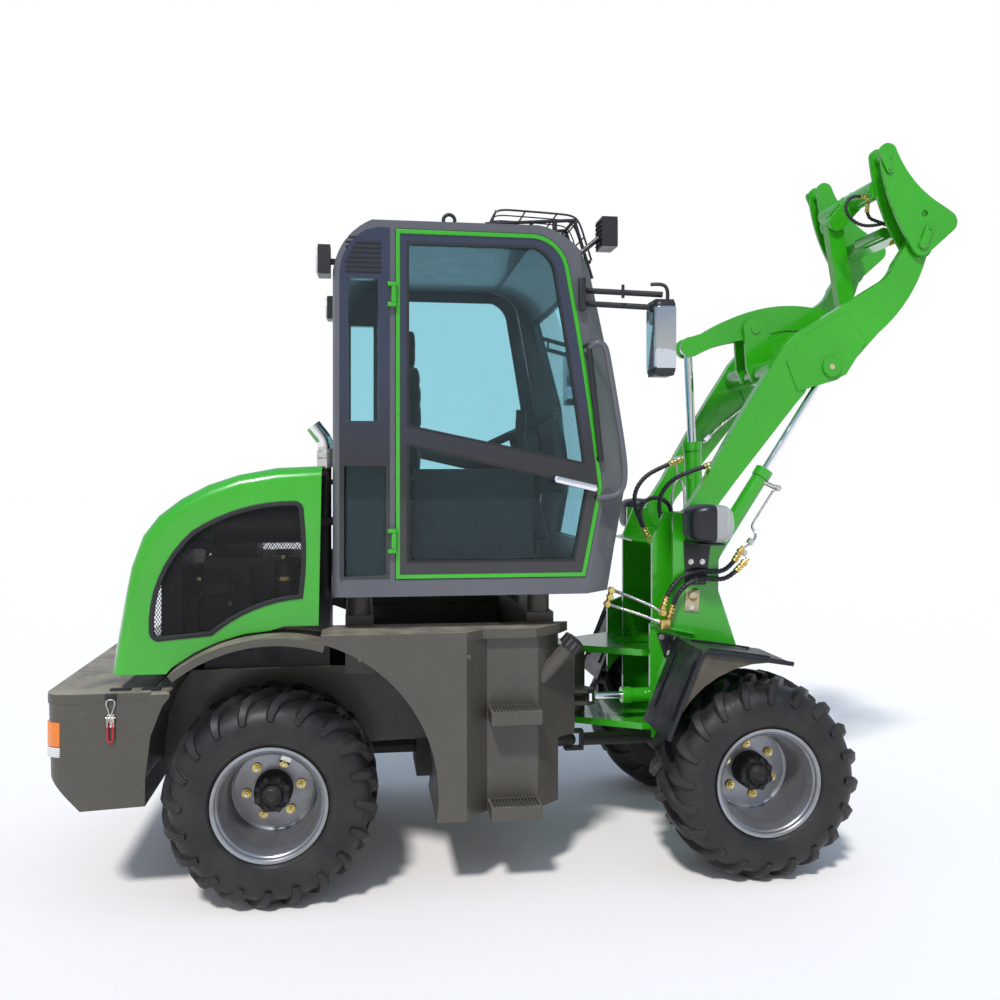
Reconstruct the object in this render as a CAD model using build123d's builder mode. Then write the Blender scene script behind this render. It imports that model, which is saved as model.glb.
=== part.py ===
"""Compact articulated wheel loader with a raised Z-bar lift arm, a quick coupler and a glazed cab.

Millimetres. +X is forward, +Y is the machine's left, +Z is up, and the ground is Z = 0.
The rear frame is laid out from the rear axle, and the front frame and the arm from the front axle.
"""

from build123d import *
import math
import os

os.makedirs("parts", exist_ok=True)

# ---------------------------------------------------------------- driving sizes

wheelbase = 1880.0
rear_axle_x = -1053.0
front_axle_x = rear_axle_x + wheelbase
axle_z = 391.0

running_gap = 0.3  # between a turning piece and what it turns on
pin_side_gap = 1.0  # at each side of an eye or a boss
moving_gap = 5.0  # between pieces that pass each other

# tyre and rim, by radius and by distance from the wheel's middle plane
tyre_radius = 391.0
tyre_half_width = 196.0
tread_radius = 364.0
shoulder_start = 148.0
shoulder_radius = 322.0
bead_recess_radius = 258.0
bead_recess_depth = 32.0
lug_count = 20  # on each side of the tread
lug_width = 34.0
lug_slant_degrees = 22.0
lug_middle = 106.0
lug_inner_y = 16.0
wheel_mid_y = 553.0
rim_seat_radius = 194.0
rim_flange_radius = 209.0
rim_half_width = 182.0
rim_wall = 8.0
wheel_disc_offset = -26.0
wheel_disc_thickness = 14.0
hub_radius = 72.0
hub_end_offset = 78.0
hub_back_offset = -42.0
spindle_radius = 40.0
spindle_end_offset = 40.0

# axles
axle_tube_radius = 60.0
differential_radius = 130.0

# rear frame
chassis_half_width = 262.0
chassis_plate = 20.0
chassis_bottom_z = axle_z + axle_tube_radius
chassis_top_z = 795.0
chassis_back = -345.0
chassis_front = 1080.0
joint_station = 1250.0  # frame joint, from the rear axle
joint_boss_radius = 70.0
joint_pin_radius = 32.0
joint_boss_bottom_z = 522.0
joint_boss_top_z = 798.0
neck_plate = 28.0

# widths of the upper bodywork
counterweight_half_width = 620.0
hood_half_width = 580.0
hood_sheet = 6.0
fender_half_width = 700.0
fender_inner_y = 400.0
fender_sheet = 28.0
arch_radius = 572.0
deck_top_z = 990.0
deck_thickness = 36.0
tank_bottom_z = 289.0

# cab
cab_half_width = 631.0
cab_wall = 46.0
cab_floor_z = 1120.0
roof_sheet = 24.0
door_gap = 6.0
glass_thickness = 6.0
glass_seat_gap = 0.3
hinge_station = 452.0

# arm, by distance from the middle of the machine
arm_y = 300.0
arm_thickness = 50.0
cheek_thickness = 14.0
tower_outer_y = 350.0
tower_inner_y = 250.0
tower_plate = 20.0
arm_pivot = (-160.0, 1360.0)
coupler_pivot = (865.0, 2578.0)
rocker_pivot = (217.0, 2235.0)
rocker_back_pin = (-79.0, 2154.0)
rocker_front_pin = (704.0, 2226.0)
link_top_pin = (620.0, 2739.0)
lift_base = (-175.0, 1079.0)
lift_eye = (451.0, 2040.0)
tilt_base = (-37.0, 1290.0)
arm_pin_radius = 30.0
coupler_pin_radius = 25.0
linkage_pin_radius = 20.0

lift_barrel_radius = 34.0
lift_barrel_length = 620.0
lift_rod_radius = 16.0
lift_eye_radius = 34.0
tilt_barrel_radius = 39.0
tilt_barrel_length = 437.0
tilt_rod_radius = 19.0
tilt_eye_radius = 36.0
rocker_inner_y = 32.0
rocker_plate = 16.0
link_half_width = 25.0

# coupler
coupler_outer_y = 336.0
coupler_inner_y = 264.0
coupler_plate = 14.0
hook_pin = (702.0, 2962.0)
lock_pin_hole = (872.0, 2712.0)
hook_pin_radius = 20.0
lock_pin_radius = 15.0
coupler_tube_radius = 42.0

# steering cylinder, in plan from the frame joint
steer_eye = (52.0, -190.0)
steer_base = (wheelbase - joint_station - 150.0, -180.0)  # behind the front frame's cross wall
steer_z = 625.0
steer_barrel_radius = 30.0
steer_rod_radius = 15.0
steer_barrel_length = 290.0
steer_eye_radius = 24.0
steer_pin_radius = 13.0

front_joint_station = joint_station - wheelbase  # the same joint, from the front axle


# ---------------------------------------------------------------- planes and profiles


def side(datum, y=0.0):
    """Upright plane along the machine: x forward from the datum, y up, facing the right-hand side."""
    return Plane(origin=(datum, y, 0), x_dir=(1, 0, 0), z_dir=(0, -1, 0))


def plan(datum, z=0.0):
    """Level plane: x forward from the datum, y to the left."""
    return Plane(origin=(datum, 0, z), x_dir=(1, 0, 0), z_dir=(0, 0, 1))


def run_line(path):
    """Straight runs between points, closed; a pair of points in the path is an arc's middle and its end."""
    here = path[-1][1] if isinstance(path[-1][0], tuple) else path[-1]
    for stop in path:
        if isinstance(stop[0], tuple):
            ThreePointArc(here, *stop)
            here = stop[1]
        else:
            if stop != here:
                Line(here, stop)
            here = stop


def outline(plane, *path, grow=0.0):
    """A flat face inside a closed path of straight runs and arcs, made larger or smaller all round."""
    with BuildSketch(plane) as sketch:
        with BuildLine():
            run_line(path)
        make_face()
        if grow:
            offset(amount=grow, kind=Kind.INTERSECTION, mode=Mode.REPLACE)
    return sketch.sketch


def disc(plane, centre, radius):
    """A round face."""
    with BuildSketch(plane) as sketch:
        with Locations(centre):
            Circle(radius)
    return sketch.sketch


def bar(start, end, radius, mode=Mode.ADD):
    """A round bar from one point to another."""
    way = Vector(*end) - Vector(*start)
    with BuildSketch(Plane(origin=start, z_dir=way)) as sketch:
        Circle(radius)
    extrude(sketch.sketch, amount=way.length, mode=mode)


def cross_bar(datum, centre, from_y, to_y, radius, mode=Mode.ADD):
    """A round bar across the machine, from one lateral place to another."""
    bar((datum + centre[0], from_y, centre[1]), (datum + centre[0], to_y, centre[1]), radius, mode)


def slab(face, thickness, mode=Mode.ADD):
    """A plate of the given thickness, half to each side of its face."""
    extrude(face, amount=thickness / 2, both=True, mode=mode)


def block(low, high, mode=Mode.ADD):
    """A square-edged block between two corners."""
    middle = tuple((a + b) / 2 for a, b in zip(low, high))
    size = [b - a for a, b in zip(low, high)]
    with Locations(middle):
        Box(*size, mode=mode)


def finish(part, name):
    """Label a finished piece and write its file."""
    part.label = name
    export_step(part, f"parts/{name}.step")


def aim(start, end):
    """Unit way, in an upright lengthwise plane, from one point to another, and their distance."""
    run = (end[0] - start[0], end[1] - start[1])
    length = math.hypot(*run)
    return (run[0] / length, run[1] / length), length


def along(start, way, distance):
    """The point a distance along a way from a start."""
    return (start[0] + way[0] * distance, start[1] + way[1] * distance)


def turned(point, centre, degrees):
    """A point of an upright lengthwise plane, turned about a centre."""
    angle = math.radians(degrees)
    run = (point[0] - centre[0], point[1] - centre[1])
    return (
        centre[0] + run[0] * math.cos(angle) - run[1] * math.sin(angle),
        centre[1] + run[0] * math.sin(angle) + run[1] * math.cos(angle),
    )


# ---------------------------------------------------------------- wheels

wheel_places = {
    "rear_right": (rear_axle_x, -1),
    "rear_left": (rear_axle_x, 1),
    "front_right": (front_axle_x, -1),
    "front_left": (front_axle_x, 1),
}

# one tyre about its own middle: a flat-sided wedge under each bar of the tread, by radius and by distance
# from the middle plane, and the bar over it
slant = math.radians(lug_slant_degrees)
lug_run = (lug_middle - lug_inner_y) * math.tan(slant) + lug_width / 2 * math.cos(slant)
lug_top = math.sqrt(tyre_radius**2 - lug_run**2)
bore_radius = rim_seat_radius + running_gap
carcass_section = [
    (bore_radius, 0),
    (tread_radius, 0),
    (tread_radius, shoulder_start),
    (shoulder_radius, tyre_half_width),
    (bead_recess_radius, tyre_half_width),
    (bore_radius, tyre_half_width - bead_recess_depth),
]
lug_section = [
    (tread_radius - 14, lug_inner_y + 4),
    (lug_top, lug_inner_y),
    (lug_top, shoulder_start - 16),
    (shoulder_radius + 8, tyre_half_width - 16),
    (shoulder_radius - 2, shoulder_start + 2),
]
wedge_length = tyre_radius * 2
wedge_rise = wedge_length * math.tan(math.radians(180 / lug_count))
with BuildPart() as wedge:
    extrude(
        outline(Plane(origin=(0, 0, 0), x_dir=(0, 0, 1), z_dir=(-1, 0, 0)), *carcass_section),
        amount=tyre_radius,
        both=True,
    )
    extrude(
        outline(
            Plane(origin=(0, 0, 0), x_dir=(0, 0, 1), z_dir=(0, 1, 0)),
            (0, 0),
            (wedge_length, -wedge_rise),
            (wedge_length, wedge_rise),
        ),
        amount=tyre_half_width,
        mode=Mode.INTERSECT,
    )
with BuildPart() as lug:
    extrude(
        outline(
            Plane(
                origin=(0, lug_middle, 0), x_dir=(0, 0, 1), z_dir=(math.cos(slant), math.sin(slant), 0)
            ),
            *[(radius, (lug_middle - y) / math.cos(slant)) for radius, y in lug_section],
        ),
        amount=lug_width / 2,
        both=True,
    )
with BuildPart() as half_tyre:
    add([wedge.part.rotate(Axis.Y, 360 / lug_count * index) for index in range(lug_count)])
    add([lug.part.rotate(Axis.Y, 360 / lug_count * index) for index in range(lug_count)])
# the two halves stand half a step apart, with a corner of a bar straight below the axle
lug_lead = math.degrees(math.atan2(lug_run, lug_top))
with BuildPart() as whole_tyre:
    add(half_tyre.part.rotate(Axis.Y, -lug_lead))
    add(half_tyre.part.mirror(Plane.XZ).rotate(Axis.Y, 180 / lug_count - lug_lead))

for place, (axle_x, hand) in wheel_places.items():
    wheel_plane = Plane(
        origin=(axle_x, hand * wheel_mid_y, axle_z), x_dir=(0, 0, 1), z_dir=(-hand, 0, 0)
    )
    wheel_axis = Axis((axle_x, 0, axle_z), (0, 1, 0))

    with BuildPart() as tyre:
        add(Pos(axle_x, hand * wheel_mid_y, axle_z) * whole_tyre.part)
    finish(tyre.part, f"tyre_{place}")

    with BuildPart() as rim:
        with BuildSketch(wheel_plane):
            with BuildLine():
                Polyline(
                    (rim_flange_radius, rim_half_width),
                    (rim_flange_radius, rim_half_width - 10),
                    (rim_seat_radius, rim_half_width - 14),
                    (rim_seat_radius, 14 - rim_half_width),
                    (rim_flange_radius, 10 - rim_half_width),
                    (rim_flange_radius, -rim_half_width),
                    (rim_seat_radius - rim_wall, -rim_half_width),
                    (rim_seat_radius - rim_wall, wheel_disc_offset),
                    (hub_radius, wheel_disc_offset),
                    (hub_radius, hub_back_offset),
                    (spindle_radius + running_gap, hub_back_offset),
                    (spindle_radius + running_gap, spindle_end_offset + 2),
                    (0, spindle_end_offset + 2),
                    (0, hub_end_offset),
                    (hub_radius - 22, hub_end_offset),
                    (hub_radius - 8, hub_end_offset - 24),
                    (hub_radius, hub_end_offset - 30),
                    (hub_radius, wheel_disc_offset + wheel_disc_thickness),
                    (rim_seat_radius - rim_wall, wheel_disc_offset + wheel_disc_thickness),
                    (rim_seat_radius - rim_wall, rim_half_width),
                    close=True,
                )
            make_face()
        revolve(axis=wheel_axis)
    finish(rim.part, f"rim_{place}")


# ---------------------------------------------------------------- axles

axle_end_y = wheel_mid_y + hub_back_offset - pin_side_gap
brake_flange_radius = 92.0
brake_flange_width = 34.0
drive_nose = {"rear_axle": (rear_axle_x, 1), "front_axle": (front_axle_x, -1)}
nose_length = 210.0
nose_radius = 55.0

for name, (axle_x, facing) in drive_nose.items():
    with BuildPart() as axle:
        bar((axle_x, -axle_end_y, axle_z), (axle_x, axle_end_y, axle_z), axle_tube_radius)
        bar((axle_x, -95, axle_z), (axle_x, 95, axle_z), differential_radius)
        bar((axle_x, 0, axle_z), (axle_x + facing * nose_length, 0, axle_z), nose_radius)
        for hand in (-1, 1):
            bar(
                (axle_x, hand * (axle_end_y - brake_flange_width), axle_z),
                (axle_x, hand * axle_end_y, axle_z),
                brake_flange_radius,
            )
            bar(
                (axle_x, hand * axle_end_y, axle_z),
                (axle_x, hand * (wheel_mid_y + spindle_end_offset), axle_z),
                spindle_radius,
            )
    finish(axle.part, name)


# ---------------------------------------------------------------- rear frame

nose_half_width = 105.0
steer_ear_thickness = 16.0
steer_eye_width = 34.0
steer_eye_x = rear_axle_x + joint_station + steer_eye[0]
saddle_z = 1085.0
saddle_half_width = 430.0
mount_radius = 45.0
cab_mounts = [(320, -380), (320, 380), (1040, -380), (1040, 380)]  # station, lateral place

# counterweight's front face, on which the chassis plates end, from the rear axle
weight_back = -801.0
weight_top_z = 785.0
weight_front = [(-451, 470), (-432, 627), (-392, 732), (-352, weight_top_z)]

with BuildPart() as rear_chassis:
    for hand in (-1, 1):
        slab(
            outline(
                side(rear_axle_x, hand * (chassis_half_width - chassis_plate / 2)),
                (weight_front[0][0], chassis_bottom_z),
                (chassis_front, chassis_bottom_z + 60),
                (chassis_front, chassis_top_z),
                (chassis_back, chassis_top_z),
                *reversed(weight_front),
            ),
            chassis_plate,
        )
    # cross walls that join the two long plates
    for station in (-320, 300, chassis_front - 12):
        block(
            (rear_axle_x + station - 12, -chassis_half_width, 560),
            (rear_axle_x + station + 12, chassis_half_width, 760),
        )
    # nose that carries the frame joint
    extrude(
        outline(
            plan(rear_axle_x, joint_boss_bottom_z + 30),
            (chassis_front, -nose_half_width),
            (joint_station, -joint_boss_radius),
            (joint_station, joint_boss_radius),
            (chassis_front, nose_half_width),
        ),
        amount=joint_boss_top_z - joint_boss_bottom_z - 60,
    )
    bar(
        (rear_axle_x + joint_station, 0, joint_boss_bottom_z),
        (rear_axle_x + joint_station, 0, joint_boss_top_z),
        joint_boss_radius,
    )
    bar(
        (rear_axle_x + joint_station, 0, joint_boss_bottom_z),
        (rear_axle_x + joint_station, 0, joint_boss_top_z),
        joint_pin_radius + running_gap,
        Mode.SUBTRACT,
    )
    # two level ears around the steering cylinder's rod eye
    ear_gap = steer_eye_width / 2 + pin_side_gap
    for bottom in (steer_z + ear_gap, steer_z - ear_gap - steer_ear_thickness):
        extrude(
            outline(
                plan(rear_axle_x, bottom),
                (chassis_front + 40, -nose_half_width + 20),
                (chassis_front + 60, steer_eye[1] - 10),
                (joint_station + steer_eye[0] - 20, steer_eye[1] - steer_eye_radius),
                (joint_station + steer_eye[0] + 20, steer_eye[1] - 6),
                (joint_station + steer_eye[0] + 12, steer_eye[1] + steer_eye_radius),
                (joint_station - 20, -joint_boss_radius + 12),
            ),
            amount=steer_ear_thickness,
        )
    # saddle under the cab, with a rubber mount at each corner
    for station in (320, 1040):
        block(
            (rear_axle_x + station - 55, -saddle_half_width, chassis_top_z),
            (rear_axle_x + station + 55, saddle_half_width, saddle_z - 60),
        )
    for station, y in cab_mounts:
        bar((rear_axle_x + station, y, saddle_z - 60), (rear_axle_x + station, y, cab_floor_z), mount_radius)
finish(rear_chassis.part, "rear_chassis")


# counterweight: one cast block behind and beside the rear wheels, with an arch cut for them
with BuildPart() as counterweight:
    extrude(
        outline(
            side(rear_axle_x),
            (weight_back, weight_top_z),
            (weight_back + 8, 491),
            (-678, 363),
            (-451, 373),
            *weight_front,
        ),
        amount=counterweight_half_width,
        both=True,
    )
    back_corners = counterweight.edges().filter_by(Axis.Z, tolerance=3).group_by(Axis.X)[0]
    fillet(back_corners, 70)
    top_edges = counterweight.edges().group_by(Axis.Z)[-1]
    fillet(top_edges, 12)
finish(counterweight.part, "counterweight")


# engine: one plain block at its real place, on the chassis plates
engine_low = (rear_axle_x - 300, -230, 620)
engine_high = (rear_axle_x + 200, 230, 1240)
engine_foot_z = 700.0
with BuildPart() as engine:
    block(engine_low, engine_high)
    for station in (-230, 150):
        block(
            (rear_axle_x + station - 30, -chassis_half_width + chassis_plate, engine_foot_z),
            (rear_axle_x + station + 30, chassis_half_width - chassis_plate, engine_foot_z + 30),
        )
finish(engine.part, "engine")


# radiator with its stand at the back, and the round air cleaner above the engine
radiator_back = -455.0
radiator_front = -375.0
air_cleaner_z = 1385.0
air_cleaner_radius = 90.0
with BuildPart() as engine_fittings:
    block(
        (rear_axle_x + radiator_back, -300, weight_top_z),
        (rear_axle_x + radiator_front, 300, 1290),
    )
    block(
        (rear_axle_x - 280, -150, engine_high[2]),
        (rear_axle_x - 100, 120, engine_high[2] + 70),
    )
    bar(
        (rear_axle_x - 260, -160, air_cleaner_z),
        (rear_axle_x + 120, -160, air_cleaner_z),
        air_cleaner_radius,
    )
finish(engine_fittings.part, "engine_fittings")


# driveline: transmission under the cab, shafts to the rear axle and to the frame joint
shaft_radius = 28.0
shaft_z = axle_z
joint_ball_radius = 30.0
with BuildPart() as driveline:
    block((rear_axle_x + 560, -150, 300), (rear_axle_x + 800, 150, 560 - moving_gap))
    bar(
        (rear_axle_x + nose_length, 0, shaft_z),
        (rear_axle_x + 560, 0, shaft_z),
        shaft_radius,
    )
    bar(
        (rear_axle_x + 800, 0, shaft_z),
        (rear_axle_x + joint_station, 0, shaft_z),
        shaft_radius,
    )
    with Locations((rear_axle_x + joint_station, 0, shaft_z)):
        Sphere(joint_ball_radius)
    # top plates that hang the transmission from the chassis
    block(
        (rear_axle_x + 620, -chassis_half_width + chassis_plate, 530),
        (rear_axle_x + 740, chassis_half_width - chassis_plate, 550),
    )
finish(driveline.part, "driveline")


# rear fenders: a thick curved lip over each wheel that runs on as the side deck
arch_centre = (10.0, 385.0)
arch_start_degrees = 128.0
arch_end_degrees = 72.0
deck_front = 1145.0


def on_arch(radius, degrees):
    """Point of the wheel arch at a radius and an angle from straight ahead."""
    angle = math.radians(degrees)
    return (arch_centre[0] + radius * math.cos(angle), arch_centre[1] + radius * math.sin(angle))


with BuildPart() as rear_fenders:
    with BuildSketch(side(rear_axle_x, -fender_inner_y)):
        with BuildLine():
            outer = ThreePointArc(
                on_arch(arch_radius + fender_sheet, arch_start_degrees),
                on_arch(arch_radius + fender_sheet, 100),
                on_arch(arch_radius + fender_sheet, arch_end_degrees),
            )
            inner = ThreePointArc(
                on_arch(arch_radius, arch_end_degrees),
                on_arch(arch_radius, 100),
                on_arch(arch_radius, arch_start_degrees),
            )
            Line(outer @ 1, inner @ 0)
            Line(inner @ 1, outer @ 0)
        make_face()
    extrude(amount=fender_half_width - fender_inner_y)
    # level deck beside the cab, stepped in above the entry
    extrude(
        outline(
            plan(rear_axle_x, deck_top_z - deck_thickness),
            (180, -fender_half_width),
            (715, -fender_half_width),
            (785, -625),
            (990, -625),
            (1100, -530),
            (deck_front, -saddle_half_width - 30),
            (180, -saddle_half_width - 10),
        ),
        amount=deck_thickness,
    )
    mirror(about=Plane.XZ)
finish(rear_fenders.part, "rear_fenders")


# side tanks: closed boxes between the wheel arch and the frame joint, the entry recessed into them
with BuildPart() as side_tanks:
    extrude(
        outline(
            plan(rear_axle_x, tank_bottom_z),
            (195, -fender_half_width),
            (715, -fender_half_width),
            (805, -590),
            (1003, -590),
            (1100, -500),
            (1100, -300),
            (1060, -chassis_half_width),
            (195, -chassis_half_width),
        ),
        amount=deck_top_z - deck_thickness - tank_bottom_z,
    )
    cross_bar(
        rear_axle_x,
        arch_centre,
        -fender_half_width - 20,
        0,
        arch_radius + fender_sheet,
        Mode.SUBTRACT,
    )
    # step down inside, clear of the chassis and its saddles
    block(
        (rear_axle_x + 150, -saddle_half_width - moving_gap, chassis_top_z - moving_gap),
        (rear_axle_x + 1200, 0, deck_top_z),
        Mode.SUBTRACT,
    )
    # narrow rear-facing shield ahead of the entry
    extrude(
        outline(
            plan(rear_axle_x, 536),
            (1100, -500),
            (1180, -440),
            (1180, -425),
            (1100, -480),
        ),
        amount=320,
    )
    # filler neck and cap
    neck_way = Vector(130, -30, 150).normalized()
    neck_start = Vector(rear_axle_x + 1020, -545, 780)
    bar(tuple(neck_start), tuple(neck_start + neck_way * 190), 30)
    bar(tuple(neck_start + neck_way * 170), tuple(neck_start + neck_way * 205), 43)
    mirror(about=Plane.XZ)
finish(side_tanks.part, "side_tanks")


# ---------------------------------------------------------------- steps

step_front_y = 702.0
step_back_y = 590.0
step_heights = (283.0, 640.0)  # underside of each tray
step_depth = 52.0
step_sheet = 5.0
with BuildPart() as steps:
    for bottom in step_heights:
        for hand in (-1, 1):
            low_y, high_y = sorted((hand * step_front_y, hand * step_back_y))
            block((rear_axle_x + 808, low_y, bottom), (rear_axle_x + 1000, high_y, bottom + step_depth))
            block(
                (rear_axle_x + 808 + step_sheet, low_y + step_sheet, bottom + step_sheet),
                (rear_axle_x + 1000 - step_sheet, high_y - step_sheet, bottom + step_depth + 1),
                Mode.SUBTRACT,
            )
finish(steps.part, "steps")


# ---------------------------------------------------------------- hood

# side shape of the hood, from the rear axle
hood_profile = [
    (-576, 843),
    (-569, 946),
    (-538, 1128),
    (-517, 1235),
    (-475, 1352),
    (-419, 1425),
    (-337, 1488),
    (-240, 1540),
    (-129, 1577),
    (10, 1603),
    (180, 1611),
    (168, 1010),
    (42, 1010),
    *[on_arch(arch_radius + fender_sheet + 10, degrees) for degrees in (92, 101, 110, 119, 128)],
    (-385, 843),
]
hood_shoulder = 55.0
hood_hinge = (150.0, 1582.0)
hood_hinge_places = (-250.0, 330.0)
hood_knuckle = 60.0
hood_lug = 12.0
hood_pin_radius = 6.0
window_shape = [
    (-436, 996),
    ((-396, 1214), (-288, 1362)),
    ((-110, 1445), (76, 1470)),
    ((98, 1460), (103, 1438)),
    ((112, 1290), (101, 1122)),
    ((-80, 1079), (-225, 990)),
    (-400, 975),
    ((-426, 979), (-436, 996)),
]
back_window_half_width = 380.0
back_window_z = (900.0, 1180.0)
screen_thickness = 3.0
exhaust_y = -400.0
exhaust_notch_width = 90.0
exhaust_notch_depth = 62.0


def hood_shape(inset):
    """The hood's outer form, drawn in all round by an inset."""
    with BuildPart() as body:
        extrude(
            outline(side(rear_axle_x), *hood_profile, grow=-inset),
            amount=hood_half_width - inset,
            both=True,
        )
        shoulders = body.edges().filter_by(
            lambda edge: abs(abs(edge.center().Y) - hood_half_width + inset) < 0.1
            and edge.center().Z > arch_centre[1] + arch_radius + fender_sheet + 65
            and edge.center().X < rear_axle_x + 160
        )
        fillet(shoulders, hood_shoulder - inset)
    return body.part


hood_outer = hood_shape(0)
hood_hollow = hood_shape(hood_sheet)
with BuildPart() as hood:
    add(hood_outer)
    # hollow, and open below and in front
    for shift in ((0, 0, 0), (0, 0, -90), (90, 0, 0), (90, 0, -90)):
        add(Pos(*shift) * hood_hollow, mode=Mode.SUBTRACT)
    # side windows and back window
    extrude(
        outline(side(rear_axle_x), *window_shape),
        amount=hood_half_width + 10,
        both=True,
        mode=Mode.SUBTRACT,
    )
    block(
        (rear_axle_x - 700, -back_window_half_width, back_window_z[0]),
        (rear_axle_x - 500, back_window_half_width, back_window_z[1]),
        Mode.SUBTRACT,
    )
    # notch in the front edge for the exhaust pipe
    block(
        (rear_axle_x + 180 - exhaust_notch_depth, exhaust_y - exhaust_notch_width / 2, 1500),
        (rear_axle_x + 200, exhaust_y + exhaust_notch_width / 2, 1650),
        Mode.SUBTRACT,
    )
    # hinge knuckles under the top sheet
    for y in hood_hinge_places:
        from_y = y - hood_knuckle / 2
        to_y = y + hood_knuckle / 2
        cross_bar(rear_axle_x, hood_hinge, from_y, to_y, 12)
        block(
            (rear_axle_x + hood_hinge[0] - 12, from_y, hood_hinge[1]),
            (rear_axle_x + hood_hinge[0] + 8, to_y, hood_hinge[1] + 22),
        )
        cross_bar(rear_axle_x, hood_hinge, from_y - 1, to_y + 1, hood_pin_radius + running_gap, Mode.SUBTRACT)
finish(hood.part, "hood")

# screens inside the hood's windows, set against the sheet from within
screen_lap = 8.0
screen_rim = 6.0
screen_pitch = 56.0
screen_hole = 30.0
screen_y = hood_half_width - hood_sheet - screen_thickness / 2 - running_gap
with BuildPart() as hood_screens:
    for hand in (-1, 1):
        slab(outline(side(rear_axle_x, hand * screen_y), *window_shape, grow=screen_lap), screen_thickness)
    # diamond perforations
    with BuildSketch(side(rear_axle_x)) as holes:
        for shift in (0, screen_pitch / 2):
            with Locations((-165 + shift, 1222 + shift)):
                with GridLocations(screen_pitch, screen_pitch, 10, 9):
                    Rectangle(screen_hole, screen_hole, rotation=45)
    inside_rim = holes.sketch & outline(side(rear_axle_x), *window_shape, grow=-screen_rim)
    extrude(inside_rim, amount=hood_half_width, both=True, mode=Mode.SUBTRACT)
finish(hood_screens.part, "hood_screens")


# ---------------------------------------------------------------- cab

cab_back = 220.0
cab_corner_radius = 60.0
pillar_knee = (1262.0, -cab_half_width, 1540.0)
pillar_corner_way = (260.0, 273.0)  # in plan, along the slanted front corner
upper_pillar_way = (-89.0, 0.0, 780.0)
lower_pillar_way = (-75.0, 0.0, -420.0)

# side shape of the cab on its middle line, from the rear axle
cab_profile = [
    (cab_back, cab_floor_z),
    (cab_back, 2338),
    ((262, 2445), (366, 2531)),
    (1000, 2531),
    ((1130, 2470), (1215, 2330)),
    (1335, 1876),
    (1383, 1580),
    (1322, 1290),
    (1295, cab_floor_z),
]


def cab_shape(inset):
    """The cab's outer form, drawn in all round by an inset."""
    half_width = cab_half_width - inset
    with BuildPart() as body:
        face = outline(side(rear_axle_x), *cab_profile, grow=-inset)
        extrude(face, amount=half_width, both=True)
        back_edges = body.edges().filter_by(Axis.Z).group_by(Axis.X)[0]
        fillet(back_edges, max(cab_corner_radius - inset, 8))
        # slanted corners ahead of the doors, leaning back above and below a knee
        corner_length = math.hypot(*pillar_corner_way)
        shift = Vector(-pillar_corner_way[1], pillar_corner_way[0], 0) * (inset / corner_length)
        knee = Vector(rear_axle_x + pillar_knee[0], pillar_knee[1], pillar_knee[2]) + shift
        start = knee - Vector(*pillar_corner_way, 0) * 0.4
        end = knee + Vector(*pillar_corner_way, 0) * 1.4
        with BuildSketch(Plane(origin=(0, 0, pillar_knee[2]), x_dir=(1, 0, 0), z_dir=(0, 0, 1))):
            for hand in (1, -1):
                with BuildLine():
                    Polyline(
                        (start.X, hand * start.Y),
                        (end.X, hand * end.Y),
                        (end.X, hand * start.Y),
                        close=True,
                    )
                make_face()
        corners = body.pending_faces.copy()
        extrude(amount=1300, dir=Vector(*upper_pillar_way).normalized(), mode=Mode.SUBTRACT)
        extrude(corners, amount=600, dir=Vector(*lower_pillar_way).normalized(), mode=Mode.SUBTRACT)
    return body.part


# openings of one side, drawn in the side view; the doors fill the first
door_opening = [
    (hinge_station, 1184),
    (hinge_station, 2500),
    (960, 2498),
    ((1070, 2458), (1116, 2380)),
    ((1164, 2120), (1250, 1530)),
    (1182, 1184),
]
quarter_windows = [
    [(278, 1778), (278, 2309), (389, 2309), (389, 1778)],
    [(263, 1197), (263, 1610), (418, 1610), (418, 1197)],
]
windscreen_half_width = cab_half_width - 111.0
windscreen_z = (1290.0, 2330.0)
back_glass_half_width = cab_half_width - 161.0
back_glass_z = (1680.0, 2280.0)
roof_bottom_z = 2345.0
roof_half_width = cab_half_width - 41.0
louvre_x = (270.0, 400.0)
louvre_z = (2350.0, 2474.0)
louvre_count = 7
louvre_depth = 10.0
opening_depth = 60.0
glass_inset = 14.0
hinge_z = (1330.0, 2250.0)
hinge_radius = 11.0
hinge_pin_radius = 5.0
hinge_y = cab_half_width + 14
hinge_x = rear_axle_x + hinge_station - 4


def side_cut(points, shrink, mode):
    """Both sides' wall, or what lies in it, along an outline drawn in the side view."""
    face = outline(side(rear_axle_x, -cab_half_width - 1), *points, grow=-shrink)
    extrude(face, amount=-opening_depth, mode=mode)
    extrude(mirror(face, about=Plane.XZ, mode=Mode.PRIVATE), amount=-opening_depth, mode=mode)


def window_cuts(shrink, mode):
    """Windscreen, back window and quarter windows as volumes that run through the walls."""
    half_width = windscreen_half_width - shrink
    block(
        (rear_axle_x + 1060, -half_width, windscreen_z[0] + shrink),
        (rear_axle_x + 1400, half_width, windscreen_z[1] - shrink),
        mode,
    )
    half_width = back_glass_half_width - shrink
    block(
        (rear_axle_x + cab_back - 20, -half_width, back_glass_z[0] + shrink),
        (rear_axle_x + cab_back + opening_depth, half_width, back_glass_z[1] - shrink),
        mode,
    )
    for points in quarter_windows:
        side_cut(points, shrink, mode)


cab_outer = cab_shape(0)
cab_hollow = cab_shape(cab_wall)
glass_outer = cab_shape(glass_inset)
glass_inner = cab_shape(glass_inset + glass_thickness)
roof_inner = cab_shape(roof_sheet)

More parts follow.
